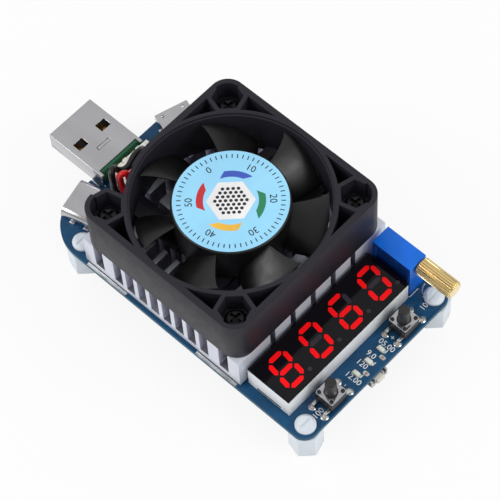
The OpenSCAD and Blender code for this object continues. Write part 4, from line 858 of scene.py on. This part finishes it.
class LOAD_OT_fan_rotor(bpy.types.Operator):
    """Makes the rotor with swept blades, and the printed label on its hub"""

    bl_idname = "load.fan_rotor"
    bl_label = "Fan rotor"

    hub_radius, hub_wall, hub_edge = 12 * MM, 1.2 * MM, 0.45 * MM
    hub_low, hub_roof = 2.4 * MM, 1.2 * MM
    boss_radius, boss_height, shaft_radius = 2 * MM, 2.4 * MM, 1 * MM
    tip_radius = 19.3 * MM
    blade_span, blade_sweep, first_blade = 33.0, 7.0, 10.3
    blade_thickness = 0.9 * MM
    blade_top, root_drop, blade_low, tip_rise = 1.3 * MM, 0.3 * MM, 3.4 * MM, 0.8 * MM
    rows, columns = 18, 26
    dial_start = 75
    tick_radii, tick_width = (10 * MM, 10.7 * MM), 0.2 * MM
    figure_radius, figure_size = 8.3 * MM, 2.1 * MM
    band_inner, band_outer = 5.5 * MM, 6.9 * MM
    band_inks = (("red", (0.8, 0.16, 0.2)), ("yellow", (0.96, 0.75, 0.27)), ("green", (0.15, 0.52, 0.36)),
                 ("blue", (0.24, 0.35, 0.75)))
    field_radius = 4.9 * MM
    dot_radius, dot_pitch, dot_rings = 0.36 * MM, 1.05 * MM, 3

    def execute(self, context):
        self.make_blades()
        self.make_hub()
        self.make_label()
        paint(finish("Yoke steel", (0.5, 0.5, 0.52), metallic=1.0, rough=(0.3, 0.45)), "rotor_yoke", "rotor_shaft")
        paint(finish("Magnet ferrite", (0.2, 0.2, 0.21), rough=(0.5, 0.7), grain=2200), "rotor_magnet")
        return {"FINISHED"}

    def blade_point(self, s, t, side):
        """Point of a blade: s from root to tip, t from leading to trailing edge, side above or below."""
        r = (self.hub_radius - self.hub_wall / 2) * (1 - s) + self.tip_radius * s
        angle = math.radians(self.first_blade - self.blade_sweep * (1 - s) ** 0.7 - self.blade_span * t)
        height = FAN_HIGH.z - FAN_LOW.z
        high = height - self.blade_top - self.root_drop * (1 - s)
        low = self.blade_low + self.tip_rise * s
        z = high - (high - low) * (0.65 * t + 0.35 * t * t)
        half = self.blade_thickness / 2 * (1 - 0.6 * abs(2 * t - 1) ** 3)
        return Vector((FAN_MIDDLE.x + r * math.cos(angle), FAN_MIDDLE.y + r * math.sin(angle),
                       FAN_LOW.z + z + side * half))

    def make_blades(self):
        bm = bmesh.new()
        rows, columns = self.rows, self.columns
        below, above = (
            [[bm.verts.new(self.blade_point(i / rows, j / columns, side)) for j in range(columns + 1)]
             for i in range(rows + 1)]
            for side in (-1, 1)
        )
        for i in range(rows):
            for j in range(columns):
                bm.faces.new((above[i][j], above[i][j + 1], above[i + 1][j + 1], above[i + 1][j]))
                bm.faces.new((below[i][j], below[i + 1][j], below[i + 1][j + 1], below[i][j + 1]))
        for i in range(rows):
            for j in (0, columns):
                bm.faces.new((below[i][j], above[i][j], above[i + 1][j], below[i + 1][j]))
        for j in range(columns):
            for i in (0, rows):
                bm.faces.new((below[i][j], below[i][j + 1], above[i][j + 1], above[i][j]))
        smooth = 50
        blades = new_object("fan_blades", outward(bm), rotor_plastic(), smooth)
        axis = (FAN_MIDDLE.x, FAN_MIDDLE.y, 0)
        grow(blades, ring_tree(), Count=sizes().blade_count, Axis_point=axis, Material=rotor_plastic())
        smooth_by_angle(blades.data, smooth)
        place_piece(blades, "rotor", slot_of("fan_rotor"), "fan_rotor")

    def make_hub(self):
        low = FAN_LOW.z + self.hub_low
        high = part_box("hub_label")[0].z
        roof = high - self.hub_roof
        foot = roof - self.boss_height
        r, edge, boss, shaft = self.hub_radius, self.hub_edge, self.boss_radius, self.shaft_radius
        inner = r - self.hub_wall
        corner = [
            (r - edge * (1 - math.sin(a)), high - edge * (1 - math.cos(a)))
            for a in (math.pi / 2 * (1 - k / 5) for k in range(6))
        ]
        profile = [(shaft, foot), (boss, foot), (boss, roof), (inner, roof), (inner, low), (r, low), *corner,
                   (0, high), (0, roof), (shaft, roof), (shaft, foot)]
        bm = bmesh.new()
        points = [bm.verts.new((FAN_MIDDLE.x + x, FAN_MIDDLE.y, z)) for x, z in profile]
        rim = [bm.edges.new(pair) for pair in zip(points, points[1:])]
        bmesh.ops.spin(bm, geom=points + rim, cent=(FAN_MIDDLE.x, FAN_MIDDLE.y, 0), axis=(0, 0, 1),
                       angle=2 * math.pi, steps=96, use_merge=True)
        bmesh.ops.remove_doubles(bm, verts=bm.verts[:], dist=1e-7)
        new_piece("fan_hub", outward(bm), rotor_plastic(), "rotor", slot_of("fan_rotor"))

    def make_label(self):
        film = finish("Label film", colours().label, 1.05, rough=(0.28, 0.4), grain=1500, bump=0.05, drift_scale=90)
        soften("hub_label", film, sizes().fine_edge, body="rotor")
        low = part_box("hub_label")[1].z
        high = low + sizes().print_height
        middle = x, y = FAN_MIDDLE.x, FAN_MIDDLE.y
        on_label = "rotor", "label_blue"
        black = printed_ink("Black label ink", (0.1, 0.12, 0.14))
        tick = bar(*((x + radius, y) for radius in self.tick_radii), self.tick_width, low, high)
        ticks = new_object("label_ticks", tick, black)
        grow(ticks, ring_tree(), Count=60, Axis_point=(x, y, 0), Material=black)
        place_piece(ticks, *on_label)
        figures = []
        for k in range(6):
            angle = math.radians(self.dial_start - 60 * k)
            at = (x + self.figure_radius * math.cos(angle), y + self.figure_radius * math.sin(angle),
                  (low + high) / 2)
            figures.append(lettering(str(10 * k), self.figure_size, at, angle - math.pi / 2))
        new_piece("label_figures", joined(figures), black, *on_label)
        for k, (name, colour) in enumerate(self.band_inks):
            start = self.dial_start + 20 + 90 * k
            band = prism(arc_points(self.band_outer, start, start + 50, 12, middle)
                         + arc_points(self.band_inner, start + 62, start + 12, 12, middle), low, high)
            new_piece(f"label_band_{name}", band, printed_ink(f"Label ink {name}", colour), *on_label)
        field = prism(arc_points(self.field_radius, self.dial_start, self.dial_start + 300, 5, middle), low, high)
        new_piece("label_field", field, printed_ink("White label ink", (0.95, 0.95, 0.95)), *on_label)
        dot = prism(arc_points(self.dot_radius, 0, 345, 23), 0, sizes().print_height / 2)
        copies_at("label_dots", dot, self.dot_spots(high), black, *on_label)

    def dot_spots(self, height):
        """Honeycomb of points on the label's white field."""
        turn = Matrix.Rotation(math.radians(self.dial_start), 2)
        rings, spots = self.dot_rings, []
        for row in range(-rings, rings + 1):
            for k in range(2 * rings + 1 - abs(row)):
                step = Vector((k - rings + abs(row) / 2, row * math.sqrt(3) / 2))
                spots.append((*(FAN_MIDDLE.xy + turn @ step * self.dot_pitch), height))
        return spots


class LOAD_OT_fan_lead(bpy.types.Operator):
    """Makes the fan's red and black wires, their plug and the socket on the board"""

    bl_idname = "load.fan_lead"
    bl_label = "Fan lead"

    # Millimetres: in the fan and round its back from where the wire leaves it, then from the wire's pin
    lead_height = 0.8
    in_fan = (0, -12, 0), (0, -8.4, 0), (0, -4.8, 0), (0, -1.2, 0)
    red_exit, red_pin = -8.35, -1.25
    red_bend = ((0, 0.8, 0.6), (0.1, 1.6, 2), (0.15, 1.8, 3.6), (0.15, 1.85, 4.4), (0.4, 1.7, 5.05),
                (0.9, 1.4, 5.3), (1.4, 1.1, 5.05), (1.65, 0.95, 4.4), (1.7, 0.95, 3.3), (1.95, 1.15, 2),
                (2.65, 1.65, 1), (3.65, 2.35, 0.4))
    red_end = (-2.35, -1.9, 2.5), (-1.25, -1.1, 2.6), (-0.4, -0.4, 2.2), (0, 0, 1.2), (0, 0, 0)
    black_exit, black_pin = -9.85, 1.25
    black_bend = ((0, 1.2, 0.5), (0.25, 2.45, 1.9), (0.4, 2.65, 3.5), (0.65, 3.05, 4.9), (1.5, 3.65, 5.5),
                  (2.35, 4.05, 4.7), (2.95, 3.85, 3.5), (3.85, 3.35, 2.9), (5.05, 3.05, 3), (6.35, 3.35, 3.3))
    black_end = (-3.35, -1.2, 5.6), (-1.75, -0.9, 5.1), (-0.55, -0.4, 3.9), (0, 0, 2.2), (0, 0, 0)

    def execute(self, context):
        self.make_wire("fan_lead_red", (0.76, 0.07, 0.09), self.red_exit, self.red_bend, self.red_pin, self.red_end)
        self.make_wire("fan_lead_black", (0.06, 0.06, 0.065), self.black_exit, self.black_bend, self.black_pin,
                       self.black_end)
        soften("fan_lead_plug", white_connector(), sizes().fine_edge)
        soften("fan_socket", white_connector(), sizes().fine_edge)
        paint(tin(), "fan_socket_pins")
        return {"FINISHED"}

    def make_wire(self, node, colour, exit_x, bend, pin_x, end):
        """Smooth wire in place of its CAD node."""
        leaves = Vector((exit_x * MM, FAN_HIGH.y, FAN_LOW.z + self.lead_height * MM))
        pin = Vector((pin_x * MM, span("fan_socket")[0].y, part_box("fan_lead_plug")[1].z))
        route = [leaves + Vector(p) * MM for p in (*self.in_fan, *bend)] + [pin + Vector(p) * MM for p in end]
        skin = finish(f"{node} skin", colour, 1.2, rough=(0.28, 0.4), bump=0.08)
        mesh = bpy.data.meshes.new(f"{node}_smooth")
        mesh.from_pydata(route, [(k, k + 1) for k in range(len(route) - 1)], [])
        wire = raw_object(f"{node}_smooth", mesh)
        grow(wire, wire_tree(), Radius=sizes().wire_diameter / 2, Steps=90, Material=skin)
        place_piece(wire, "load", slot_of(node), node)


class LOAD_OT_power_plug(bpy.types.Operator):
    """Makes the power plug's shell, insulator and contacts"""

    bl_idname = "load.power_plug"
    bl_label = "Power plug"

    shell_edge = 0.14 * MM
    green_depth = 1.3 * MM
    spring_length, spring_width, spring_corner = 3.2 * MM, 0.66 * MM, 0.2 * MM
    spring_place = 10.1 * MM
    spring_low, spring_high = 0.26 * MM, 0.12 * MM

    def execute(self, context):
        green = finish("Green insulator", (0.06, 0.34, 0.22), rough=(0.3, 0.45))
        gold = finish("Gold contacts", (0.86, 0.66, 0.3), metallic=1.0, rough=(0.18, 0.3), stretch=(1, 0.2, 1))
        soften("plug_shell", plated_steel(), self.shell_edge, steps=3)
        self.darken_mouth(soften("plug_insulator", green, sizes().fine_edge))
        self.make_spring()
        paint(gold, "plug_contacts")
        return {"FINISHED"}

    def make_spring(self):
        """Bright spring leaf that fills the slit in the shell's top."""
        low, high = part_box("plug_shell")
        middle_x, middle_y = (low.x + high.x) / 2, high.y - self.spring_place
        outline = rounded_outline(self.spring_length, self.spring_width, self.spring_corner)
        leaf = prism([(middle_x + x, middle_y + y) for x, y in outline],
                     high.z - self.spring_low, high.z - self.spring_high)
        new_piece("plug_spring", leaf, tin(), "load", slot_of("plug_shell"))

    def darken_mouth(self, insulator):
        """Near-black colour on the part of the insulator that the shell encloses."""
        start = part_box("plug_insulator")[0].y + self.green_depth
        bm = bmesh.new()
        bm.from_mesh(insulator.data)
        bmesh.ops.bisect_plane(bm, geom=[*bm.verts, *bm.edges, *bm.faces],
                               plane_co=(0, start, 0), plane_no=(0, 1, 0))
        bm.to_mesh(insulator.data)
        bm.free()
        black = finish("Black insulator", (0.06, 0.06, 0.065), grain=2800)
        recoat(insulator, black, lambda face: face.center.y > start)


class LOAD_OT_ports(bpy.types.Operator):
    """Makes the wide and the small port"""

    bl_idname = "load.ports"
    bl_label = "Ports"

    def execute(self, context):
        soften("wide_port_shell", plated_steel(), sizes().fine_edge)
        soften("small_port_shell", plated_steel(), sizes().fine_edge)
        tongue = finish("Port tongue", (0.1, 0.1, 0.11), rough=(0.4, 0.55), grain=3000)
        paint(tongue, "wide_port_tongue", "small_port_tongue")
        return {"FINISHED"}


class LOAD_OT_display(bpy.types.Operator):
    """Makes the white display case with its glossy face and lit digits"""

    bl_idname = "load.display"
    bl_label = "Display"

    slot_low, slot_high = 0.4 * MM, 0.8 * MM
    slot_mouth, slot_end = 0.1 * MM, 2 * MM
    seam_start, seam_length = 2.2 * MM, 6.3 * MM
    seam_low, seam_high = 0.3 * MM, 0.9 * MM
    gap_shade_reach = 0.005 * MM

    def execute(self, context):
        white = finish("Display case", (0.92, 0.93, 0.94), 0.97, rough=(0.3, 0.42), grain=2200)
        gap_shade = finish("Painted gap shade", (0.05, 0.05, 0.055), rough=(0.6, 0.8), grain=2600)
        gloss = finish("Glossy display face", (0.05, 0.04, 0.06), 1.1, rough=(0.04, 0.07), grain=600, bump=0.01,
                       shine=0.2)
        lit = finish("Lit segment", colours().segment, 0.97, rough=(0.15, 0.25), glow=0.12, shine=0.1)
        unlit = finish("Unlit segment", (0.22, 0.2, 0.23), 1.08, rough=(0.12, 0.2), shine=0.1)
        case = soften("display_case", white, sizes().fine_edge)
        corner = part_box("display_case")[0]
        # Painted shade: the faces inside the slot in the case's left wall are coloured dark
        recoat(case, gap_shade, lambda face: self.slot_low < face.center.z - corner.z < self.slot_high
               and self.slot_mouth < face.center.x - corner.x < self.slot_end)
        paint(gloss, "display_face")
        paint(lit, "lit_segments")
        paint(unlit, "unlit_segments")
        paint(tin(), "display_pins")
        self.make_gap_shade(corner, gap_shade)
        return {"FINISHED"}

    def make_gap_shade(self, corner, gap_shade):
        """Dark line along the slot in the case's left wall: a thin sheet of painted shade over the gap."""
        x, y, z = corner
        start, end, reach = y + self.seam_start, y + self.seam_start + self.seam_length, self.gap_shade_reach
        outline = [(x - reach, start), (x + reach, start), (x + reach, end), (x - reach, end)]
        seam = prism(outline, z + self.seam_low, z + self.seam_high)
        new_piece("display_seam", seam, gap_shade, "load", slot_of("display_face"))


class LOAD_OT_switches(bpy.types.Operator):
    """Makes the two push switches and the side switch"""

    bl_idname = "load.switches"
    bl_label = "Switches"

    button_edge = 0.12 * MM

    def execute(self, context):
        edge = sizes().fine_edge
        cream = finish("Cream button", (0.87, 0.86, 0.82), 0.96, subsurface=0.15)
        soften("switch_bases", switch_plastic(), edge)
        soften("switch_covers", plated_steel(), edge)
        soften("switch_legs", tin(), edge)
        paint(plated_steel(), "snap_domes")
        soften("left_button", switch_plastic(), self.button_edge, body="left_push", steps=3)
        soften("right_button", switch_plastic(), self.button_edge, body="right_push", steps=3)
        soften("side_switch_base", switch_plastic(), edge)
        soften("side_switch_cover", plated_steel(), edge)
        soften("side_button", cream, self.button_edge, body="side_push", steps=3)
        return {"FINISHED"}


class LOAD_OT_trimmer(bpy.types.Operator):
    """Makes the blue trimmer with its fluted brass knob"""

    bl_idname = "load.trimmer"
    bl_label = "Trimmer"

    flutes = 24
    flute_depth = 0.19 * MM
    half_land, floor_start = 0.22, 0.42
    knob_edge = 0.4 * MM

    def execute(self, context):
        blue = finish("Trimmer blue", colours().trimmer, 1.08, rough=(0.3, 0.42), grain=2400, shine=0.3)
        shaded = finish("Shaded trimmer blue", (0.04, 0.22, 0.5), 1.08, rough=(0.4, 0.5), shine=0.2)
        brass = finish("Turned brass", colours().brass, 0.97, 1.0, rough=(0.14, 0.22), grain=1500, bump=0.03,
                       stretch=(1, 0.05, 1))
        body = soften("trimmer_body", blue, sizes().moulded_edge)
        # Painted shade: the body's faces that look left take a darker blue
        recoat(body, shaded, lambda face: face.normal.x < -0.9)
        self.make_knob(brass)
        paint(brass, "trimmer_adjuster")
        paint(tin(), "trimmer_pins")
        return {"FINISHED"}

    def make_knob(self, brass):
        """Knob with flutes along its whole length, in place of its CAD node."""
        middle, size = span("trimmer_knob")
        radius, half, edge = size.x / 2, size.y / 2, self.knob_edge
        floor = radius - self.flute_depth
        pitch = 2 * math.pi / self.flutes
        land, start = self.half_land, self.floor_start
        outline = [
            (r, (k + share) * pitch) for k in range(self.flutes)
            for r, share in ((radius, -land), (radius, land), (floor, start), (floor, 1 - start))
        ]
        bm = bmesh.new()
        rings = [
            [bm.verts.new((middle.x + (r - cut) * math.cos(a), middle.y + y, middle.z + (r - cut) * math.sin(a)))
             for r, a in outline]
            for y, cut in ((half, edge / 2), (half - edge / 2, 0), (edge - half, 0), (-half, edge))
        ]
        for near, far in zip(rings, rings[1:]):
            for k in range(len(outline)):
                bm.faces.new((near[k - 1], near[k], far[k], far[k - 1]))
        bm.faces.new(rings[0])
        bm.faces.new(rings[-1])
        knob = new_piece("trimmer_knob_fluted", outward(bm), brass, "knob", slot_of("trimmer_knob"), "trimmer_knob")
        # Painted shade: the floors of the flutes take a darker brass than the lands
        shaded = finish("Shaded brass", (0.72, 0.58, 0.33), 0.95, 1.0, rough=(0.25, 0.35), grain=1500)
        groove = floor + 0.02 * MM
        recoat(knob, shaded, lambda face: abs(face.normal.y) < 0.3
               and math.hypot(face.center.x - middle.x, face.center.z - middle.z) < groove)


class LOAD_OT_lamps(bpy.types.Operator):
    """Makes the three indicator lamps"""

    bl_idname = "load.lamps"
    bl_label = "Lamps"

    def execute(self, context):
        resin = finish("Lamp resin", (0.88, 0.9, 0.85), 0.95, rough=(0.15, 0.28), grain=2000, coat=0.3,
                       subsurface=0.2)
        soften("lamp_bodies", resin, sizes().fine_edge)
        soften("lamp_ends", tin(), sizes().fine_edge)
        return {"FINISHED"}


class LOAD_OT_underside(bpy.types.Operator):
    """Finishes the parts under the board"""

    bl_idname = "load.underside"
    bl_label = "Underside"

    chips = "power_transistors", "controller_chip", "amplifier_chip", "voltage_regulator", "sense_resistor"

    def execute(self, context):
        edge = sizes().fine_edge
        moulding = finish("Chip moulding", (0.11, 0.11, 0.115), rough=(0.45, 0.6), grain=3800, bump=0.3)
        ceramic = finish("Capacitor ceramic", (0.62, 0.5, 0.36), 1.08, rough=(0.4, 0.55), grain=2600)
        for node in self.chips:
            soften(node, moulding, 2 * edge)
        soften("transistor_tabs", tin(), edge)
        soften("chip_leads", tin(), 0.4 * edge)
        soften("chip_capacitors", ceramic, edge)
        return {"FINISHED"}


class LOAD_PT_panel(bpy.types.Panel):
    """Lists the load's pieces in the sidebar"""

    bl_idname = "LOAD_PT_panel"
    bl_label = "DC electronic load"
    bl_space_type = "VIEW_3D"
    bl_region_type = "UI"
    bl_category = "Load"

    def draw(self, context):
        for operator in OPERATORS:
            self.layout.operator(operator.bl_idname)


GROUPS = {"load_colours": LoadColours, "load_sizes": LoadSizes, "load_stage": LoadStage}
OPERATORS = (
    LOAD_OT_stage, LOAD_OT_board, LOAD_OT_feet, LOAD_OT_heat_sink, LOAD_OT_fan_frame, LOAD_OT_fan_rotor,
    LOAD_OT_fan_lead, LOAD_OT_power_plug, LOAD_OT_ports, LOAD_OT_display, LOAD_OT_switches, LOAD_OT_trimmer,
    LOAD_OT_lamps, LOAD_OT_underside,
)


def register():
    for cls in (*GROUPS.values(), *OPERATORS, LOAD_PT_panel):
        bpy.utils.register_class(cls)
    for name, group in GROUPS.items():
        setattr(bpy.types.Scene, name, PointerProperty(type=group))


def unregister():
    for name in GROUPS:
        delattr(bpy.types.Scene, name)
    for cls in (LOAD_PT_panel, *reversed(OPERATORS), *reversed(GROUPS.values())):
        bpy.utils.unregister_class(cls)


def main():
    register()
    for operator in OPERATORS:
        _, name = operator.bl_idname.split(".")
        getattr(bpy.ops.load, name)()


if __name__ == "__main__":
    main()
